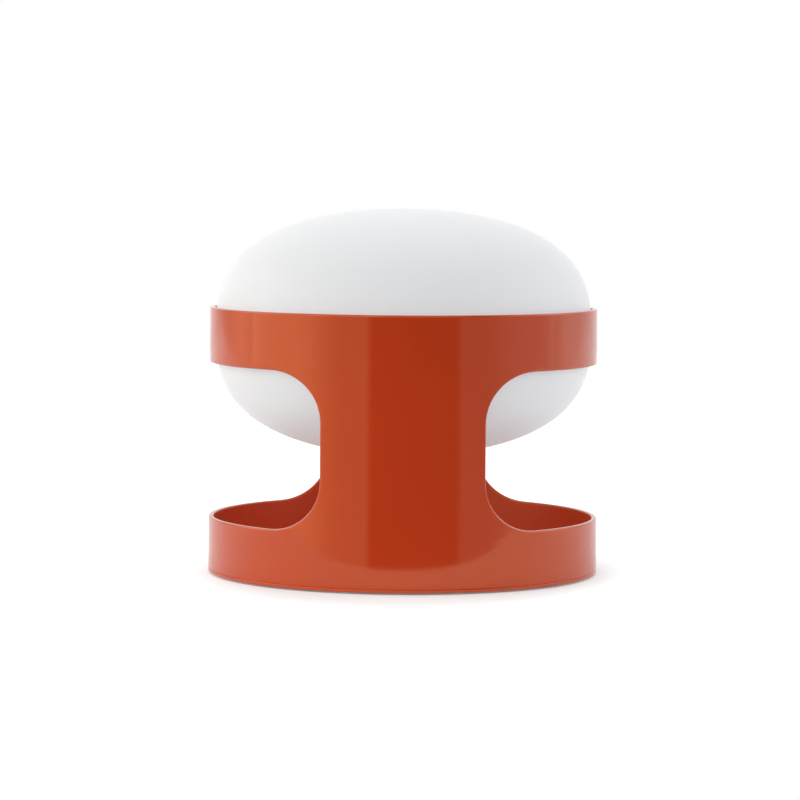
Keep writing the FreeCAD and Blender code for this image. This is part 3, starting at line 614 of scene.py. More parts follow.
SOLDER = Finish(
    "tin_dull", "solder_tin", dark=(0.42, 0.42, 0.42), light=(0.62, 0.62, 0.61),
    drift=1.5 * MM, gloss=(0.3, 0.5), grain=0.6 * MM, relief=0.03 * MM, metal=1.0,
)
PORCELAIN = Finish(
    "porcelain_bare", "porcelain", dark=(0.76, 0.74, 0.69), light=(0.84, 0.83, 0.79),
    drift=6 * MM, gloss=(0.45, 0.6), grain=0.4 * MM, relief=0.01 * MM,
)
SILICONE = Finish(
    "silicone_soft", "clear_silicone", dark=(0.58, 0.58, 0.56), light=(0.68, 0.68, 0.66),
    drift=8 * MM, gloss=(0.35, 0.5), grain=0.5 * MM, relief=0.005 * MM, depth=1 * MM,
)
BROWN_LEAD = Finish(
    "lead_brown", "brown_lead", dark=(0.09, 0.036, 0.015), light=(0.13, 0.055, 0.022),
    drift=6 * MM, gloss=(0.38, 0.5), grain=0.4 * MM, relief=0.006 * MM,
)
BLUE_LEAD = Finish(
    "lead_blue", "blue_lead", dark=(0.012, 0.07, 0.30), light=(0.02, 0.10, 0.40),
    drift=6 * MM, gloss=(0.38, 0.5), grain=0.4 * MM, relief=0.006 * MM,
)
BULB_OPAL = Finish(
    "bulb_frosted", "bulb_opal", dark=(0.80, 0.80, 0.78), light=(0.85, 0.85, 0.83),
    drift=20 * MM, gloss=(0.42, 0.5), grain=0.4 * MM, relief=0.003 * MM, depth=2 * MM,
)
BULB_WHITE = Finish(
    "bulb_satin", "bulb_white", dark=(0.76, 0.76, 0.75), light=(0.82, 0.82, 0.81),
    drift=15 * MM, gloss=(0.3, 0.38), grain=0.4 * MM, relief=0.003 * MM,
)
BLACK_GLASS = Finish(
    "glass_black", "black_insulator", dark=(0.008, 0.008, 0.01), light=(0.02, 0.02, 0.022),
    drift=2 * MM, gloss=(0.08, 0.2), grain=0.8 * MM, relief=0.01 * MM,
)
WHITE_BOARD = Finish(
    "board_lacquer", "board_aluminium", dark=(0.70, 0.70, 0.69), light=(0.78, 0.78, 0.77),
    drift=8 * MM, gloss=(0.3, 0.4), grain=0.3 * MM, relief=0.003 * MM,
)
PHOSPHOR = Finish(
    "phosphor_yellow", "led_yellow", dark=(0.72, 0.50, 0.05), light=(0.82, 0.62, 0.10),
    drift=1 * MM, gloss=(0.4, 0.55), grain=0.2 * MM, relief=0.01 * MM,
)
GREEN_BOARD = Finish(
    "board_resist", "board_green", dark=(0.012, 0.10, 0.035), light=(0.02, 0.15, 0.055),
    drift=3 * MM, gloss=(0.25, 0.4), grain=0.4 * MM, relief=0.01 * MM,
)


def dress(piece: Piece, finish: Finish) -> None:
    """Give a piece one finish all over."""
    piece.data.materials.clear()
    piece.data.materials.append(finish.make())


def dress_inside(piece: Piece, finish: Finish) -> None:
    """Give a second finish to the faces of a piece that look towards the lamp's axis.

    A face counts where its normal and the outward direction from the axis have a product below INWARD.

    Args:
        piece: The piece, dressed outside already.
        finish: The finish inside.
    """
    faces = piece.data.polygons
    normals, centres = np.empty((2, len(faces), 3))
    faces.foreach_get("normal", normals.reshape(-1))
    faces.foreach_get("center", centres.reshape(-1))
    outward = unit(centres[:, :2])
    inside = np.sum(normals[:, :2] * outward, axis=-1) < INWARD
    piece.data.materials.append(finish.make())
    faces.foreach_set("material_index", inside.astype(np.int32))


def place(piece: Piece, node: str, body: Body, finish: Finish) -> Piece:
    """Dress a new piece and let it stand for its CAD node.

    Args:
        piece: The new piece.
        node: The CAD node that it stands for.
        body: The body that it rides on.
        finish: Its finish.

    Returns:
        The piece.
    """
    dress(piece, finish)
    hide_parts(node)
    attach(piece, body.value)
    log.info("%s: %d faces in place of the CAD node", piece.name, len(piece.data.polygons))
    return piece


def keep(finish: Finish, *nodes: str) -> None:
    """Dress CAD nodes that stay as they are.

    Args:
        finish: Their finish.
        nodes: Names of the CAD nodes.
    """
    for node in nodes:
        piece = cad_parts[node]
        dress(piece, finish)
        log.info("%s: CAD node kept, in %s", node, finish.name)


# Body

@dataclass
class BodyShell:
    """Drafted cylinder with a window on each side: base ring, front and back columns, upper ring."""

    base_radius: float = 120.0 * MM
    base_height: float = 1.0 * MM
    draft: float = math.radians(0.32)
    wall: float = 3.2 * MM
    column_width: float = 97.1 * MM
    window_low: float = 35.0 * MM
    window_top: float = 129.5 * MM
    window_corner: float = 30.0 * MM
    edge_round: float = 1.0 * MM
    seam_round: float = 0.4 * MM
    band: float = 4.0 * MM
    boss_radius: float = 4.5 * MM
    boss_height: float = 22.0 * MM
    boss_sink: float = 1.2 * MM
    boss_turn: float = 17.0
    boss_bore: float = 1.8 * MM
    boss_bore_top: float = 13.3 * MM
    notch_width: float = 8.0 * MM
    notch_height: float = 8.9 * MM
    notch_start: float = 108.0 * MM
    notch_run: float = 24.0 * MM
    notch_drop: float = 2.0 * MM
    notch_steps: int = 32
    face_shares: Range = (0.2, 0.8)
    band_steps: int = 4
    side_steps: int = 96
    column_steps: int = 36
    corner_steps: int = 18
    rise_steps: int = 10
    arc_steps: int = ARC_STEPS
    low: float = field(init=False)
    top: float = field(init=False)

    def __post_init__(self) -> None:
        """Take the heights of the shell's ends from its CAD node."""
        self.low, self.top = span("body_shell")

    def radius(self, height: Array | float) -> Array | float:
        """Outside radius, which shrinks with height by the draft."""
        return self.base_radius - (height - self.base_height) * math.tan(self.draft)

    @property
    def corner_reach(self) -> float:
        """Distance from the middle of a column to where its corner roundings end."""
        return self.column_width / 2 + self.window_corner

    def ring_heights(self, start: float, end: float) -> tuple[Array, Array]:
        """Heights of the grid rows in the base ring and in the upper ring, up to a window's band.

        Args:
            start: Height of the lowest row.
            end: Height of the highest row.

        Returns:
            Rows of the base ring and rows of the upper ring.
        """
        steps = self.rise_steps
        return (np.linspace(start, self.window_low - self.band, steps),
                np.linspace(self.window_top + self.band, end, steps))

    def on_side(self, height: Array, inset: float, share: Array) -> Array:
        """Points beside a window, at shares of the turn from the front corner reach to the back one.

        The turn from the front is asin(reach / r) + share * (pi - 2 asin(reach / r)) at radius r.

        Args:
            height: Heights of the points.
            inset: Depth below the outside.
            share: Shares of the turn, 0 at the front and 1 at the back.

        Returns:
            Points with x to the right.
        """
        radius = self.radius(height) - inset
        first = np.arcsin(self.corner_reach / radius)
        turn = first + (np.pi - 2 * first) * share
        return np.stack(np.broadcast_arrays(radius * np.sin(turn), -radius * np.cos(turn), height), axis=-1)

    def on_face(self, across: Array, height: Array, inset: float, facing: Array | float) -> Array:
        """Points of the cone seen from the front: y = facing * sqrt(r^2 - x^2).

        Args:
            across: x of the points.
            height: z of the points.
            inset: Depth below the outside.
            facing: -1 at the front and 1 at the back.

        Returns:
            The points.
        """
        radius = self.radius(height) - inset
        depth = np.asarray(facing) * np.sqrt(np.maximum(radius ** 2 - across ** 2, 0))
        return np.stack(np.broadcast_arrays(across, depth, height), axis=-1)

    def column_sheet(self, inset: float, facing: float, start: float, end: float) -> Array:
        """Front or back column with the parts of both rings above and below it, in rows of one width each.

        Args:
            inset: Depth below the outside.
            facing: -1 at the front and 1 at the back.
            start: Height of the lowest row.
            end: Height of the highest row.

        Returns:
            Grid of points.
        """
        lower, upper = self.ring_heights(start, end)
        turn = np.linspace(0, np.pi / 2, self.corner_steps + 1)[1:]
        reach = self.window_corner + self.band
        bend_low = self.window_low + self.window_corner - reach * np.cos(turn)
        bend_top = self.window_top - self.window_corner + reach * np.cos(turn)
        rise = np.linspace(bend_low[-1], bend_top[-1], self.rise_steps + 1)[1:-1]
        bend_half = self.corner_reach - reach * np.sin(turn)
        heights = np.concatenate([lower, bend_low, rise, bend_top[::-1], upper])
        halves = np.concatenate([
            np.full(len(lower), self.corner_reach),
            bend_half,
            np.full(len(rise), bend_half[-1]),
            bend_half[::-1],
            np.full(len(upper), self.corner_reach),
        ])
        across = halves[:, None] * np.linspace(-1, 1, self.column_steps + 1)
        return self.on_face(across, np.broadcast_to(heights[:, None], across.shape), inset, facing)

    def side_sheets(self, inset: float, start: float, end: float) -> list[Array]:
        """The rings below and above the right window."""
        share = np.linspace(0, 1, self.side_steps + 1)[None, :]
        return [self.on_side(rows[:, None], inset, share) for rows in self.ring_heights(start, end)]

    def window_path(self) -> dict[str, Array]:
        """One turn round the right window: along the sill to the back, up, along the top to the front, down.

        Each point has a place in the view from the front and a direction away from the window there. On the
        sill and the top the place is a share of the turn instead.

        Returns:
            Arrays x, dx, z, dz, facing, share and rim, one value a point.
        """
        share = np.linspace(0, 1, self.side_steps + 1)
        turn = np.linspace(0, np.pi / 2, self.corner_steps + 1)
        corner = self.window_corner
        low, top = self.window_low + corner, self.window_top - corner
        rise = np.linspace(low, top, self.rise_steps + 1)
        reach, edge = self.corner_reach, self.column_width / 2

        def bend(angles: Array, level: float, up: int, facing: int) -> Array:
            """Points of a corner rounding."""
            sine, cosine, none = np.sin(angles), np.cos(angles), angles * 0
            return np.stack([reach - corner * sine, -sine, level + up * corner * cosine, up * cosine,
                             none + facing, none, none])

        def column(heights: Array, facing: int) -> Array:
            """Points of a column's straight edge."""
            one = np.ones_like(heights)
            return np.stack([one * edge, -one, heights, one * 0, one * facing, one * 0, one * 0])

        def rim(shares: Array, level: float, up: int) -> Array:
            """Points of the sill or the top."""
            one = np.ones_like(shares)
            return np.stack([one * 0, one * 0, one * level, one * up, one, shares, one])

        rows = np.concatenate([
            rim(share, self.window_low, -1),
            bend(turn[1:], low, -1, 1),
            column(rise[1:-1], 1),
            bend(turn[::-1][:-1], top, 1, 1),
            rim(share[::-1], self.window_top, 1),
            bend(turn[1:], top, 1, -1),
            column(rise[::-1][1:-1], -1),
            bend(turn[::-1][:-1], low, -1, -1),
        ], axis=1)
        return dict(zip(("x", "dx", "z", "dz", "facing", "share", "rim"), rows))

    def beside_window(self, path: dict[str, Array], away: Array | float, inset: float) -> Array:
        """Points of the shell at a distance from the window's edge, measured in the view from the front.

        Args:
            path: The turn round the window.
            away: Distance from the edge.
            inset: Depth below the outside.

        Returns:
            One point for each point of the path.
        """
        height = path["z"] + path["dz"] * away
        across = path["x"] + path["dx"] * away
        face = self.on_face(across, height, inset, path["facing"])
        side = self.on_side(height, inset, path["share"])
        return np.where(path["rim"][:, None] > 0, side, face)

    def window_edge(self) -> Array:
        """Rounded edge of the right window, from the band outside over the cut face to the band inside.

        At each point of the path the outside runs along d and the cut face along c. An arc of the edge
        rounding joins them: its centre lies on their bisector, and it starts at the rounding over
        tan(half angle) from the edge.

        Returns:
            Grid with one row for each step of the profile.
        """
        path = self.window_path()
        outer, inner = (self.beside_window(path, 0.0, inset) for inset in (0.0, self.wall))
        through = unit(inner - outer)
        shares = np.linspace(0, 1, self.arc_steps + 1)
        bands: list[Array] = []
        arcs: list[Array] = []
        for inset, edge, cut in ((0.0, outer, through), (self.wall, inner, -through)):
            along = unit(self.beside_window(path, self.seam_round, inset) - edge)
            half = np.arccos(np.sum(along * cut, axis=-1, keepdims=True)) / 2
            centre = edge + unit(along + cut) * self.edge_round / np.sin(half)
            reach = self.edge_round / np.tan(half)
            start, end = unit(edge + along * reach - centre), unit(edge + cut * reach - centre)
            arcs.append(centre + self.edge_round * arc(start, end, shares))
            steps = np.linspace(0, 1, self.band_steps + 1)[:-1, None]
            distances = self.band + (reach[:, 0] - self.band) * steps
            bands.append(np.stack([self.beside_window(path, distance, inset) for distance in distances]))
        face = arcs[0][-1] + (arcs[1][-1] - arcs[0][-1]) * np.array(self.face_shares)[:, None, None]
        return np.concatenate([bands[0], arcs[0], face, arcs[1][::-1], bands[1][::-1]])

    def ring(self, height: float, inset: float) -> Array:
        """Once round the shell at one height, in step with the columns' and the rings' grids.

        Args:
            height: Height of the turn.
            inset: Depth below the outside.

        Returns:
            Points of one closed turn.
        """
        across = self.corner_reach * np.linspace(-1, 1, self.column_steps + 1)
        share = np.linspace(0, 1, self.side_steps + 1)[1:-1]
        front = self.on_face(across, np.full_like(across, height), inset, -1.0)
        right = self.on_side(np.full_like(share, height), inset, share)
        half = np.concatenate([front, right])
        return np.concatenate([half, half * HALF_TURN])

    def rims(self) -> list[Array]:
        """Rounded top rim, and foot with a small rounding outside and a plain edge inside.

        Returns:
            Grids of the rim and of the foot.
        """
        turn = np.linspace(0, np.pi / 2, self.arc_steps + 1)
        edge, seam = self.edge_round, self.seam_round
        top = [(self.top - edge + edge * math.sin(a), edge * (1 - math.cos(a))) for a in turn]
        top += [(self.top, self.wall / 2)]
        top += [(height, self.wall - inset) for height, inset in top[-2::-1]]
        foot = [(self.low + seam - seam * math.sin(a), seam * (1 - math.cos(a))) for a in turn]
        foot += [(self.low, self.wall)]
        return [np.stack([self.ring(height, inset) for height, inset in rows]) for rows in (top, foot)]

    @property
    def boss_spots(self) -> list[Spot]:
        """Places of the screw bosses, on both sides of the front and of the back.

        Returns:
            x and y of each boss.
        """
        circle = self.radius(self.low) - self.wall - self.boss_radius + self.boss_sink
        angles = [side + turn for side in BACK_AND_FRONT for turn in (-self.boss_turn, self.boss_turn)]
        return spots_on_circle(circle, angles)

    def bosses(self) -> Piece:
        """Screw bosses inside the base ring, with their bores.

        Returns:
            Four bosses in one object.
        """
        top = self.low + self.boss_height
        line = rounded_line([
            (self.boss_bore, self.low),
            (self.boss_radius, self.low),
            (self.boss_radius, top, self.edge_round),
            (0.0, top),
            (0.0, self.boss_bore_top),
            (self.boss_bore, self.boss_bore_top),
        ])
        return repeated("bosses", line, self.boss_spots)

    def notch(self) -> Piece:
        """Arch for the cord at the foot of the back wall: a half circle on two straight legs, run along y.

        Returns:
            The solid that is cut away.
        """
        half = self.notch_width / 2
        turn = np.linspace(0, np.pi, self.notch_steps + 1)
        arch = np.stack([half * np.cos(turn), self.notch_height + half * np.sin(turn)], axis=-1)
        foot = self.low - self.notch_drop
        section = np.concatenate([[[half, foot]], arch, [[-half, foot]], [[half, foot]]])
        start = np.insert(section, 1, self.notch_start, axis=1)
        return Skin().add_all(prism(start, (0.0, self.notch_run, 0.0))).sew("notch")

    def build(self) -> None:
        """Sew the shell from its sheets, add bosses and notch, and dress it."""
        skin = Skin()
        for inset, start in ((0.0, self.low + self.seam_round), (self.wall, self.low)):
            end = self.top - self.edge_round
            for facing in (-1.0, 1.0):
                skin.add(self.column_sheet(inset, facing, start, end))
            for sheet in self.side_sheets(inset, start, end):
                skin.add(sheet).add(sheet * MIRROR)
        window = self.window_edge()
        shell = skin.add_all([window, window * MIRROR, *self.rims()], around=True).sew("shell")
        carve(shell, self.bosses(), Carve.ON)
        carve(shell, self.notch(), Carve.AWAY)
        # The faces inside get the lighter copy of the orange, which is painted light.
        dress_inside(place(shell, "body_shell", Body.STAND, ORANGE), ORANGE_INSIDE_PAINTED_LIGHT)


@dataclass
class Diffuser:
    """Opal globe in two halves: a superellipse turned about the axis, with lip and rebate at the joint."""

    radius: float = 115.576 * MM
    half_height: float = 75.53 * MM
    wall: float = 2.5 * MM
    radius_power: float = 2.19
    height_power: float = 2.775
    lip_height: float = 4.0 * MM
    lip_wall: float = 1.1 * MM
    lip_gap: float = 0.35 * MM
    seat_radius: float = 30.0 * MM
    hole_radius: float = HOLDER_HOLE
    edge_round: float = 0.35 * MM
    steps: int = 96
    joint: float = field(init=False)

    def __post_init__(self) -> None:
        """Take the height of the joint from the dome's CAD node."""
        self.joint = span("upper_diffuser")[0]

    def drop(self, radius: float, inset: float) -> float:
        """Distance of the surface from the joint plane at a radius."""
        lean = (radius / (self.radius - inset)) ** self.radius_power
        return (self.half_height - inset) * (1 - lean) ** (1 / self.height_power)

    def curve(self, inset: float, side: int, start: float, end: float) -> Array:
        """Superellipse r = w (1 - s^m)^(1/n) at height h s, with s = sin a and a stepped evenly.

        Args:
            inset: Depth below the outside.
            side: 1 above the joint and -1 below.
            start: First distance from the joint plane.
            end: Last distance from the joint plane.

        Returns:
            Radius and height.
        """
        tall = self.half_height - inset
        sine = np.sin(np.linspace(math.asin(start / tall), math.asin(min(end / tall, 1)), self.steps + 1))
        narrow = np.maximum(1 - sine ** self.height_power, 0) ** (1 / self.radius_power)
        radius = (self.radius - inset) * narrow
        return np.stack([radius, self.joint + side * tall * sine], axis=-1)

    def build_dome(self) -> None:
        """Upper half, closed at its crown, with the rebate that drops over the lip."""
        edge = self.edge_round
        outside = self.curve(0.0, 1, edge, self.half_height)
        rebate = self.radius - self.wall + self.lip_wall + self.lip_gap
        ledge = self.joint + self.lip_height + self.lip_gap
        inside = self.curve(self.wall, 1, ledge - self.joint, self.half_height - self.wall)[::-1]
        rim = rounded_line([
            tuple(inside[-1]),
            (rebate, ledge),
            (rebate, self.joint),
            (self.radius, self.joint, edge),
            tuple(outside[0]),
        ], closed=False)
        line = np.concatenate([outside[::-1], rim[::-1][1:-1], inside[::-1]])
        dome = sewn("dome", lathe(line))
        place(dome, "upper_diffuser", Body.DOME, OPAL)

    def build_bowl(self) -> None:
        """Lower half, with a flat seat round the hole for the lampholder and a lip at its rim."""
        edge = self.edge_round
        seat = self.joint - self.drop(self.seat_radius, 0.0)
        floor = seat + self.wall
        outside = self.curve(0.0, -1, edge, self.joint - seat)
        inside = self.curve(self.wall, -1, 0.0, self.joint - floor)
        hole = rounded_line([
            tuple(outside[-1]),
            (self.hole_radius, seat, edge),
            (self.hole_radius, floor, edge),
            tuple(inside[-1]),
        ], closed=False)
        lip = self.radius - self.wall
        rim = rounded_line([
            tuple(inside[0]),
            (lip, self.joint + self.lip_height, edge),
            (lip + self.lip_wall, self.joint + self.lip_height, edge),
            (lip + self.lip_wall, self.joint),
            (self.radius, self.joint, edge),
            tuple(outside[0]),
        ], closed=False)
        line = np.concatenate([outside, hole[1:-1], inside[::-1], rim[1:]])
        bowl = sewn("bowl", lathe(line))
        place(bowl, "lower_diffuser", Body.STAND, OPAL)

    def build(self) -> None:
        """Make both halves."""
        self.build_dome()
        self.build_bowl()


@dataclass
class BaseDisc:
    """Disc that closes the shell from below, with its spigot, feet, ballast and screws."""

    shell: BodyShell
    low: float = 1.0 * MM
    fit: float = 0.3 * MM
    spigot_wall: float = 2.4 * MM
    spigot_height: float = 4.0 * MM
    spigot_sink: float = 0.5 * MM
    spigot_start: float = 74.88 * MM
    spigot_round: float = 0.5 * MM
    arc_steps: int = 48
    hole_mouth: float = 3.8 * MM
    hole_shaft: float = 2.05 * MM
    foot_circle: float = 96.0 * MM
    foot_radius: float = 8.0 * MM
    foot_sink: float = 1.0 * MM
    foot_round: float = 0.4 * MM

    @property
    def top(self) -> float:
        """Height of the disc's upper face, on which the shell stands."""
        return self.shell.low

    def plate(self) -> Piece:
        """The disc itself, its rim rounded above and below so that a fine line shows under the shell.

        Returns:
            The disc without spigots and holes.
        """
        seam = self.shell.seam_round
        line = rounded_line([
            (0.0, self.low),
            (self.shell.radius(self.low), self.low, seam),
            (self.shell.radius(self.top), self.top, seam),
            (0.0, self.top),
        ], closed=False)
        return sewn("disc", lathe(line))

    def spigots(self) -> Piece:
        """Two arcs that centre the shell: a section turned by acos(start / r) to either side of the x axis.

        Returns:
            Both arcs in one object.
        """
        outer = self.shell.radius(self.top) - self.shell.wall - self.fit
        inner = outer - self.spigot_wall
        foot, top = self.top - self.spigot_sink, self.top + self.spigot_height
        line = rounded_line([
            (inner, foot),
            (outer, foot),
            (outer, top, self.spigot_round),
            (inner, top, self.spigot_round),
        ])
        radius, height = line[:, :1], line[:, 1:]
        angle = np.arccos(self.spigot_start / radius) * np.linspace(-1, 1, self.arc_steps + 1)
        right = np.stack(np.broadcast_arrays(radius * np.cos(angle), radius * np.sin(angle), height), axis=-1)
        grids = [right, right * MIRROR]
        ends = [filled(grid[:, column]) for grid in grids for column in (0, -1)]
        return Skin().add_all(grids + ends).sew("spigots")

    def screw_holes(self) -> Piece:
        """Countersunk holes under the shell's bosses and under the pedestal's pillars.

        Returns:
            All holes in one object.
        """
        reach = self.hole_mouth - self.hole_shaft
        over = self.top + self.fit
        under = self.low - self.fit
        line = np.array([
            (0.0, under),
            (self.hole_mouth + self.fit, under),
            (self.hole_shaft, self.low + reach),
            (self.hole_shaft, over),
            (0.0, over),
        ])
        pillars = spots_on_circle(PILLAR_CIRCLE, QUARTERS)
        return repeated("holes", line, self.shell.boss_spots + pillars)

    def foot_line(self, low: float, high: float, wide: float, rounding: float) -> Array:
        """Outline of a foot or of its pocket, from axis to axis."""
        return rounded_line([(0.0, low), (wide, low, rounding), (wide, high), (0.0, high)], closed=False)

    def build(self) -> None:
        """Make the disc and the feet, and dress ballast and screws."""
        disc = self.plate()
        carve(disc, self.spigots(), Carve.ON)
        carve(disc, self.screw_holes(), Carve.AWAY)
        spots = spots_on_circle(self.foot_circle, QUARTERS)
        sole = self.low + self.foot_sink
        pocket = self.foot_line(self.low - self.fit, sole, self.foot_radius + self.fit, self.fit / 2)
        carve(disc, repeated("pockets", pocket, spots, FINE_STEPS), Carve.AWAY)
        place(disc, "base_disc", Body.STAND, ORANGE)
        foot = self.foot_line(0.0, sole, self.foot_radius, self.foot_round)
        feet = repeated("feet", foot, spots, FINE_STEPS)
        place(feet, "rubber_feet", Body.STAND, RUBBER)
        keep(ZINC, "ballast_plate", "shell_screws", "pedestal_screws")


@dataclass
class Pedestal:
    """Hollow hub and neck that carry the lampholder, with the cord's bush and the soft seat ring."""

    hub: Corner = (58.0 * MM, 19.0 * MM)
    neck: Corner = (29.0 * MM, 29.0 * MM)
    neck_top: float = 27.0 * MM
    wall: float = 2.5 * MM
    hub_round: float = 6.0 * MM
    neck_round: float = 14.0 * MM
    top_round: float = 1.5 * MM
    edge_round: float = 0.3 * MM
    holder_hole: float = HOLDER_HOLE
    pillar_radius: float = 4.5 * MM
    pillar_foot: float = 11.0 * MM
    pillar_bore: float = 1.8 * MM
    pillar_bore_top: float = 19.3 * MM
    cord_height: float = 8.9 * MM
    cord_hole: float = 4.3 * MM
    cord_hole_depth: float = 7.5 * MM
    bush_line: tuple[Corner, ...] = (
        (2.8, 51.5, 0.3), (4.0, 51.5, 0.3), (4.0, 58.0), (5.6, 58.0, 0.2), (5.6, 59.5, 0.5), (2.8, 59.5, 0.7),
    )
    barb_line: tuple[Corner, ...] = (
        (3.4, 51.6), (4.1, 51.6), (5.2, 54.4), (5.2, 55.2), (3.4, 55.2), (3.4, 51.6),
    )
    barb_half: float = 1.4 * MM
    bend_steps: int = 18
    low: float = field(init=False)
    top: float = field(init=False)

    def __post_init__(self) -> None:
        """Take the heights of both ends from the CAD node."""
        self.low, self.top = span("base_pedestal")

    @property
    def slope(self) -> float:
        """Rise of the hub's top over its run."""
        return (self.neck[1] - self.hub[1]) / (self.hub[0] - self.neck[0])

    def corners(self, wall: float) -> list[Corner]:
        """Corners of the outside, or of the hollow a wall further in, from the foot to the top.

        Args:
            wall: Depth below the outside.

        Returns:
            (radius, height, rounding) of each corner.
        """
        drop = wall * (math.hypot(1, self.slope) - self.slope)
        return [
            (self.hub[0] - wall, self.low, self.edge_round),
            (self.hub[0] - wall, self.hub[1] - drop, self.hub_round - wall),
            (self.neck[0] - wall, self.neck[1] - drop, self.neck_round + wall),
            (self.neck_top - wall, self.top - wall, self.top_round),
        ]

    def pillars(self) -> Piece:
        """Screw pillars under the hub: their tops follow the middle of its sloping wall.

        Returns:
            Four closed pillars in one object.
        """
        line = rod(self.pillar_radius, self.pillar_foot, self.hub[1])
        grids: list[Array] = []
        for x, y in spots_on_circle(PILLAR_CIRCLE, QUARTERS):
            grid = laid(lathe(line, ROUND_STEPS), at=(x, y, 0.0))
            reach = np.linalg.norm(grid[..., :2], axis=-1)
            ceiling = self.hub[1] + self.slope * (self.hub[0] - reach) - self.wall / 2
            grid[..., 2] = np.where(grid[..., 2] > self.pillar_foot, ceiling, grid[..., 2])
            grids.append(grid)
        return sewn("pillars", *grids)

    def bores(self) -> Piece:
        """Screw bores in the pillars, and the hole for the cord's bush.

        Returns:
            All bores in one object.
        """
        line = rod(self.pillar_bore, self.low, self.pillar_bore_top)
        spots = spots_on_circle(PILLAR_CIRCLE, QUARTERS)
        bores = [laid(lathe(line, BORE_STEPS), at=(*spot, 0.0)) for spot in spots]
        hole = rod(self.cord_hole, self.hub[0] - self.cord_hole_depth, self.hub[0] + self.wall)
        entry = laid(lathe(hole, BORE_STEPS), Turn.FRONT_TO_BACK, (0.0, 0.0, self.cord_height))
        return sewn("bores", *bores, entry)

    def bush(self) -> Piece:
        """Snap-in bush: a flanged tube with a barb on either side.

        Returns:
            The bush.
        """
        line = rounded_line(mm(*self.bush_line))
        tube = laid(lathe(line, FINE_STEPS), Turn.FRONT_TO_BACK, (0.0, 0.0, self.cord_height))
        made = sewn("cord_bush", tube)
        section = np.insert(np.array(mm(*self.barb_line)), 2, self.cord_height - self.barb_half, axis=1)
        grids = prism(section, (0.0, 0.0, 2 * self.barb_half))
        carve(made, Skin().add_all(grids + [grid * MIRROR for grid in grids]).sew("barbs"), Carve.ON)
        return made

    def build(self) -> None:
        """Make the pedestal, the bush and the soft ring."""
        mouth = [(self.holder_hole, self.top, self.edge_round), (self.holder_hole, self.top - self.wall)]
        line = rounded_line(self.corners(0.0) + mouth + self.corners(self.wall)[::-1], steps=self.bend_steps)
        pedestal = sewn("pedestal", lathe(line))
        carve(pedestal, self.pillars(), Carve.ON)
        carve(pedestal, self.bores(), Carve.AWAY)
        place(pedestal, "base_pedestal", Body.STAND, ORANGE)
        place(self.bush(), "cord_gland", Body.STAND, BLACK_NYLON)
        rest = span("seat_gasket")[1]
        rim = self.neck_top - self.top_round
        soft = rounded_line([
            (self.holder_hole, self.top, self.edge_round),
            (rim, self.top, self.edge_round),
            (rim, rest, self.edge_round),
            (self.holder_hole, rest, self.edge_round),
        ])
        ring = sewn("seat_ring", lathe(soft))
        place(ring, "seat_gasket", Body.STAND, SILICONE)


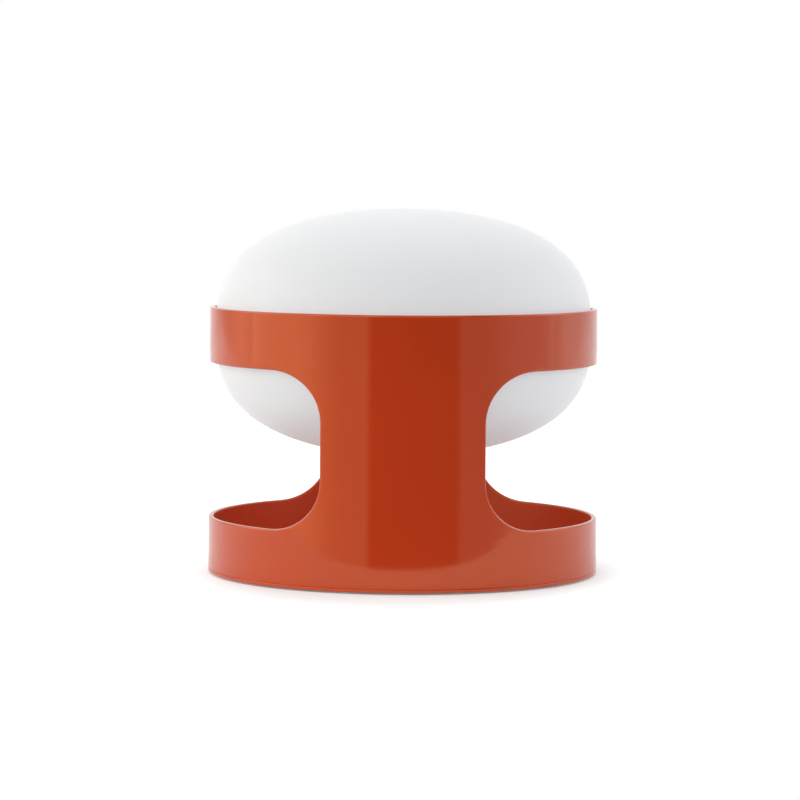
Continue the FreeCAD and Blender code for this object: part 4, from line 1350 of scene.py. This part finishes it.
@dataclass
class Lampholder:
    """Threaded skirt, the ring that clamps the diffuser on it, the brass socket and what feeds it."""

    skirt_bore: float = 17.5 * MM
    skirt_radius: float = 19.3 * MM
    skirt_round: float = 0.6 * MM
    flange_radius: float = 22.7 * MM
    flange: float = 2.0 * MM
    bead: float = 0.8 * MM
    pitch: float = 3.0 * MM
    ring_bore: float = 20.4 * MM
    ring_wall: float = 3.0 * MM
    ring_flange_radius: float = 28.0 * MM
    ring_round: float = 0.7 * MM
    notches: int = 8
    notch_radius: float = 2.4 * MM
    socket_bore: float = 13.35 * MM
    socket_wall: float = 1.4 * MM
    socket_floor: float = 0.8 * MM
    socket_lip: float = 3.5 * MM

    def build_skirt(self) -> None:
        """Skirt with its flange below and the thread outside."""
        low, high = span("holder_skirt")
        ridge_low = span("shade_ring")[0]
        middle = (self.skirt_bore + self.skirt_radius) / 2
        outside = rounded_line([
            (self.skirt_bore, low),
            (self.flange_radius, low, self.skirt_round / 2),
            (self.flange_radius, low + self.flange, self.skirt_round / 2),
            (self.skirt_radius, low + self.flange),
            (self.skirt_radius, high, self.skirt_round),
            (middle, high),
        ], closed=False)
        inside = rounded_line([
            (middle, high),
            (self.skirt_bore, high, self.skirt_round),
            (self.skirt_bore, low),
        ], closed=False)
        ridge = Thread(self.bead, self.pitch, ridge_low, high - self.bead)
        skirt = sewn("skirt", lathe(refined(outside, THREAD_ROW), swell=ridge), lathe(inside))
        place(skirt, "holder_skirt", Body.STAND, WHITE_NYLON)

    def build_ring(self) -> None:
        """Clamping ring with finger notches round its flange and the thread inside."""
        low, high = span("shade_ring")
        shoulder = low + self.flange
        outside = rounded_line([
            (self.ring_bore, low),
            (self.ring_flange_radius, low),
            (self.ring_flange_radius, shoulder, self.ring_round),
            (self.ring_bore + self.ring_wall, shoulder),
            (self.ring_bore + self.ring_wall, high, self.ring_round),
            (self.ring_bore, high),
        ], closed=False)
        bore = refined(np.array([(self.ring_bore, high), (self.ring_bore, low)]), THREAD_ROW)
        ridge = Thread(self.bead, self.pitch, low, high, self.pitch / 2, inward=True)
        ring = sewn("clamp_ring", lathe(outside), lathe(bore, swell=ridge))
        tool = rod(self.notch_radius, low - self.flange / 2, shoulder + self.flange / 2)
        angles = [FULL_TURN / self.notches * index for index in range(self.notches)]
        carve(ring, repeated("notches", tool, spots_on_circle(self.ring_flange_radius, angles)), Carve.AWAY)
        place(ring, "shade_ring", Body.STAND, WHITE_NYLON)

    def build_socket(self) -> None:
        """Brass socket: a cup with an open floor and the bulb's thread inside."""
        low, high = span("holder_screw_shell")
        mouth = self.socket_bore - self.socket_lip
        floor = low + self.socket_floor
        outside = rounded_line([
            (self.socket_bore, floor),
            (mouth, floor),
            (mouth, low),
            (self.socket_bore + self.socket_wall, low, self.skirt_round),
            (self.socket_bore + self.socket_wall, high, self.skirt_round / 2),
            (self.socket_bore, high),
        ], closed=False)
        bore = refined(np.array([(self.socket_bore, high), (self.socket_bore, floor)]), THREAD_ROW)
        ridge = Thread(CAP_BEAD, CAP_PITCH, span("bulb_cap")[0], high, CAP_PITCH / 2, inward=True)
        socket = sewn("socket", lathe(outside), lathe(bore, swell=ridge))
        place(socket, "holder_screw_shell", Body.STAND, BRASS)

    def build(self) -> None:
        """Make the pieces that can be seen, and dress those inside and their leads."""
        self.build_skirt()
        self.build_ring()
        self.build_socket()
        keep(WHITE_NYLON, "holder_cap", "terminal_block")
        keep(PORCELAIN, "holder_core")
        keep(BRASS, "holder_centre_contact", "holder_terminals", "terminal_sleeves")
        keep(ZINC, "holder_terminal_screws", "terminal_screws", "block_screw")
        keep(BROWN_LEAD, "live_lead")
        keep(BLUE_LEAD, "neutral_lead")


@dataclass
class Bulb:
    """Screw-in LED bulb: opal globe, white body, threaded cap, and the boards inside."""

    globe_radius: float = 30.0 * MM
    globe_wall: float = 1.2 * MM
    globe_steps: int = 64
    root_radius: float = 12.1 * MM
    cap_wall: float = 1.0 * MM
    collar_top: float = 28.8 * MM
    collar_wall: float = 1.6 * MM
    collar_waist: float = 5.0 * MM
    collar_round: float = 26.0 * MM
    collar_steps: int = 24

    def ball(self, radius: float, centre: float, low: float) -> Array:
        """Arc of a ball from a height up to its crown: r = R cos a, z = centre + R sin a."""
        angle = np.linspace(math.asin((low - centre) / radius), np.pi / 2, self.globe_steps + 1)
        return np.stack([radius * np.cos(angle), centre + radius * np.sin(angle)], axis=-1)

    def build_globe(self) -> None:
        """Opal cover, open below."""
        low, high = span("bulb_globe")
        centre = high - self.globe_radius
        outside = self.ball(self.globe_radius, centre, low)
        inside = self.ball(self.globe_radius - self.globe_wall, centre, low)
        line = np.concatenate([outside[::-1], inside])
        globe = sewn("bulb_cover", lathe(line))
        place(globe, "bulb_globe", Body.BULB_GLASS, BULB_OPAL)

    def build_collar(self) -> None:
        """White body that flares from the cap to the globe."""
        low, high = span("bulb_collar")
        foot = self.root_radius + CAP_BEAD
        waist, shoulder = low + self.collar_waist, high - self.collar_round / 2

        def flare(wall: float) -> list[Corner]:
            """Corners of the outside, or of the hollow a wall further in."""
            return [
                (foot - wall, low),
                (foot - wall, waist, self.collar_round / 2 + wall),
                (self.collar_top - wall, shoulder, self.collar_round - wall),
                (self.collar_top - wall, high),
            ]

        line = rounded_line(flare(0.0) + flare(self.collar_wall)[::-1], steps=self.collar_steps)
        collar = sewn("bulb_body", lathe(line))
        place(collar, "bulb_collar", Body.BULB_BASE, BULB_WHITE)

    def build_cap(self) -> None:
        """Threaded cap, closed below."""
        low, high = span("bulb_cap")
        inner, floor = self.root_radius - self.cap_wall, low + self.cap_wall
        outside = rounded_line([
            (0.0, low),
            (self.root_radius, low, self.cap_wall / 2),
            (self.root_radius, high),
        ], closed=False)
        inside = np.array([(self.root_radius, high), (inner, high), (inner, floor), (0.0, floor)])
        ridge = Thread(CAP_BEAD, CAP_PITCH, low, high)
        cap = sewn("bulb_screw_cap", lathe(refined(outside, THREAD_ROW), swell=ridge), lathe(inside))
        place(cap, "bulb_cap", Body.BULB_BASE, NICKEL)

    def build(self) -> None:
        """Make the three outer pieces, and dress the contacts and boards."""
        self.build_globe()
        self.build_collar()
        self.build_cap()
        keep(BLACK_GLASS, "bulb_insulator")
        keep(SOLDER, "bulb_tip")
        keep(WHITE_BOARD, "bulb_board")
        keep(PHOSPHOR, "bulb_leds")
        keep(GREEN_BOARD, "bulb_driver")


# Studio

@dataclass(frozen=True)
class PhotoCamera:
    """Camera at the photograph's place, worked out from the lamp's rims and windows."""

    focal_pixels: float = 3359.0
    image_pixels: float = 800.0
    sensor: float = 36.0
    spot: Corner = (0.0, -2.069, 0.2479)
    yaw: float = math.radians(-0.055)
    pitch: float = math.radians(3.92)
    roll: float = math.radians(0.39)

    def build(self) -> None:
        """Place the camera and make it the scene's own."""
        data = bpy.data.cameras.new("camera")
        data.sensor_width = self.sensor
        data.lens = self.focal_pixels * self.sensor / self.image_pixels
        camera = bpy.data.objects.new("camera", data)
        ahead = Vector((math.sin(self.yaw) * math.cos(self.pitch), math.cos(self.yaw) * math.cos(self.pitch),
                        -math.sin(self.pitch)))
        right = Vector((math.cos(self.yaw), -math.sin(self.yaw), 0.0))
        up = right.cross(ahead)
        tilted_right = math.cos(self.roll) * right + math.sin(self.roll) * up
        tilted_up = -math.sin(self.roll) * right + math.cos(self.roll) * up
        turn = Matrix((tilted_right, tilted_up, -ahead)).transposed().to_4x4()
        camera.matrix_world = Matrix.Translation(self.spot) @ turn
        bpy.context.scene.collection.objects.link(camera)
        bpy.context.scene.camera = camera


@dataclass(frozen=True)
class SoftPanel:
    """Soft panel far away, given by its directions in degrees, round from the camera and up, and its tone."""

    around: Range
    up: Range
    blur_around: float
    blur_up: float
    strength: float
    tone: Colour = (1.0, 1.0, 1.0)


WARM: Colour = (1.10, 0.99, 0.74)
COOL: Colour = (0.80, 1.00, 1.20)


@dataclass(frozen=True)
class Studio:
    """White table in front of a white wall, with soft panels left, right and above."""

    panels: tuple[SoftPanel, ...] = (
        SoftPanel((100.0, 260.0), (-60.0, 10.0), 12.0, 8.0, 0.82),
        SoftPanel((-260.0, -100.0), (-60.0, 10.0), 12.0, 8.0, 0.45, WARM),
        SoftPanel((100.0, 260.0), (10.0, 64.0), 12.0, 8.0, 0.98),
        SoftPanel((-260.0, -100.0), (10.0, 64.0), 12.0, 8.0, 0.66),
        SoftPanel((-100.0, -20.0), (-14.0, 8.0), 2.5, 5.0, 0.59, WARM),
        SoftPanel((33.0, 100.0), (-14.0, 8.0), 2.5, 5.0, 0.36, COOL),
        SoftPanel((-120.0, -50.0), (-14.0, 8.0), 15.0, 5.0, 0.72, WARM),
        SoftPanel((60.0, 120.0), (-14.0, 8.0), 15.0, 5.0, 0.31, COOL),
        SoftPanel((-25.0, 38.0), (8.0, 18.0), 8.0, 4.0, 1.63),
        SoftPanel((-25.0, 38.0), (-80.0, -14.0), 10.0, 6.0, 0.68),
        SoftPanel((28.0, 115.0), (-80.0, -14.0), 10.0, 6.0, 0.43),
        SoftPanel((-115.0, -55.0), (8.0, 36.0), 15.0, 5.0, 2.30),
        SoftPanel((-60.0, -15.0), (8.0, 36.0), 10.0, 5.0, 1.62),
        SoftPanel((-20.0, 33.0), (18.0, 36.0), 10.0, 5.0, 1.96),
        SoftPanel((60.0, 115.0), (8.0, 36.0), 15.0, 5.0, 1.98),
        SoftPanel((-115.0, -55.0), (36.0, 64.0), 15.0, 6.0, 0.67),
        SoftPanel((-60.0, -15.0), (36.0, 64.0), 10.0, 6.0, 0.84),
        SoftPanel((-400.0, 400.0), (64.0, 116.0), 1.0, 6.0, 1.08),
    )
    wall_start: float = 136.0
    wall_blur: float = 20.0
    table_half_width: float = 2.5
    table_front: float = -0.255
    table_back: float = 2.5
    table_rows: int = 5
    table_white: float = 0.92
    table_lift: Colour = (0.135, 0.17, 0.17)
    shadow_reach: Range = (150.0 * MM, 230.0 * MM)
    shadow_shape: Corner = (1.6, 1.0, 1.0)
    clear_lift: float = 2.4

    def build_light(self) -> None:
        """World light: the sum of all panels, each a product of soft steps round and up."""
        world = bpy.data.worlds.new("studio")
        bpy.context.scene.world = world
        nodes = Nodes(world)
        nodes.tree.nodes.clear()

        def step(value: Socket, at: float, blur: float) -> Socket:
            """Soft step from 0 to 1 at an angle in degrees."""
            return nodes.ranged(value, (math.radians(at - blur), math.radians(at + blur)), kind="SMOOTHSTEP")

        def window(value: Socket, ends: Range, blur: float) -> Socket:
            """1 between two angles and 0 outside, with soft ends."""
            return nodes.reckon("SUBTRACT", step(value, ends[0], blur), step(value, ends[1], blur))

        ray = nodes.put("SeparateXYZ", {0: nodes.put("TexCoord")["Generated"]})
        around = nodes.reckon("ARCTAN2", ray["X"], nodes.reckon("MULTIPLY", ray["Y"], -1.0))
        up = nodes.reckon("ARCSINE", ray["Z"])
        total: Socket | Colour = (0.0, 0.0, 0.0)
        for panel in self.panels:
            shape = nodes.reckon("MULTIPLY", window(around, panel.around, panel.blur_around),
                                 window(up, panel.up, panel.blur_up))
            tone = [panel.strength * part for part in panel.tone]
            total = nodes.put("VectorMath", {0: shape, 1: tone, 2: total}, operation="MULTIPLY_ADD")[0]
        path = nodes.put("LightPath")
        behind = step(nodes.reckon("ABSOLUTE", around), self.wall_start, self.wall_blur)
        mirrored = nodes.reckon("MULTIPLY", path["Is Glossy Ray"], behind)
        seen = nodes.reckon("MAXIMUM", path["Is Camera Ray"], path["Is Transmission Ray"])
        seen = nodes.reckon("MAXIMUM", seen, mirrored)
        light = nodes.put("Background", {"Color": total})[0]
        white = nodes.put("Background", {"Color": (1.0, 1.0, 1.0, 1.0)})[0]
        mix = nodes.put("MixShader", {"Fac": seen, 1: light, 2: white})[0]
        nodes.put("OutputWorld", {"Surface": mix})

    def build_table(self) -> None:
        """White table top: it looks white, also in reflections, and keeps the lamp's shadow near the lamp.

        The glow that the camera sees grows by a smooth step between both reaches from the lamp's axis, where
        lengths across count more by the shadow's shape.
        """
        across = np.linspace(-self.table_half_width, self.table_half_width, self.table_rows)
        along = np.linspace(self.table_front, self.table_back, self.table_rows)
        x, y = np.meshgrid(across, along)
        table = Skin().add(np.stack([x, y, np.full_like(x, -WELD)], axis=-1)).sew("table")
        material = bpy.data.materials.new("table_white")
        nodes = Nodes(material)
        nodes.tree.nodes.clear()
        path = nodes.put("LightPath")
        spot = nodes.put("TexCoord")["Object"]
        spot = nodes.put("VectorMath", {0: spot, 1: self.shadow_shape}, operation="MULTIPLY")["Vector"]
        away = nodes.put("VectorMath", {0: spot}, operation="LENGTH")["Value"]
        lift = nodes.ranged(away, self.shadow_reach, (1.0, self.clear_lift), "SMOOTHSTEP")
        direct = nodes.reckon("MULTIPLY", lift, path["Is Camera Ray"])
        seen = nodes.reckon("MAXIMUM", direct, path["Is Glossy Ray"])
        matt = nodes.put("BsdfDiffuse", {"Color": (*[self.table_white] * 3, 1.0)})[0]
        painted_glow = nodes.put("Emission", {"Color": (*self.table_lift, 1.0), "Strength": seen})[0]
        both = nodes.put("AddShader", {0: matt, 1: painted_glow})[0]
        nodes.put("OutputMaterial", {"Surface": both})
        table.data.materials.append(material)

    def build(self) -> None:
        """Light, table and plain colour handling."""
        bpy.context.scene.view_settings.view_transform = "Standard"
        self.build_light()
        self.build_table()


def main() -> None:
    """Build the studio and every part of the lamp."""
    logging.basicConfig(level=logging.INFO, format="%(name)s: %(message)s")
    PhotoCamera().build()
    Studio().build()
    shell = BodyShell()
    shell.build()
    BaseDisc(shell).build()
    Pedestal().build()
    Lampholder().build()
    Diffuser().build()
    Bulb().build()


if __name__ == "__main__":
    main()
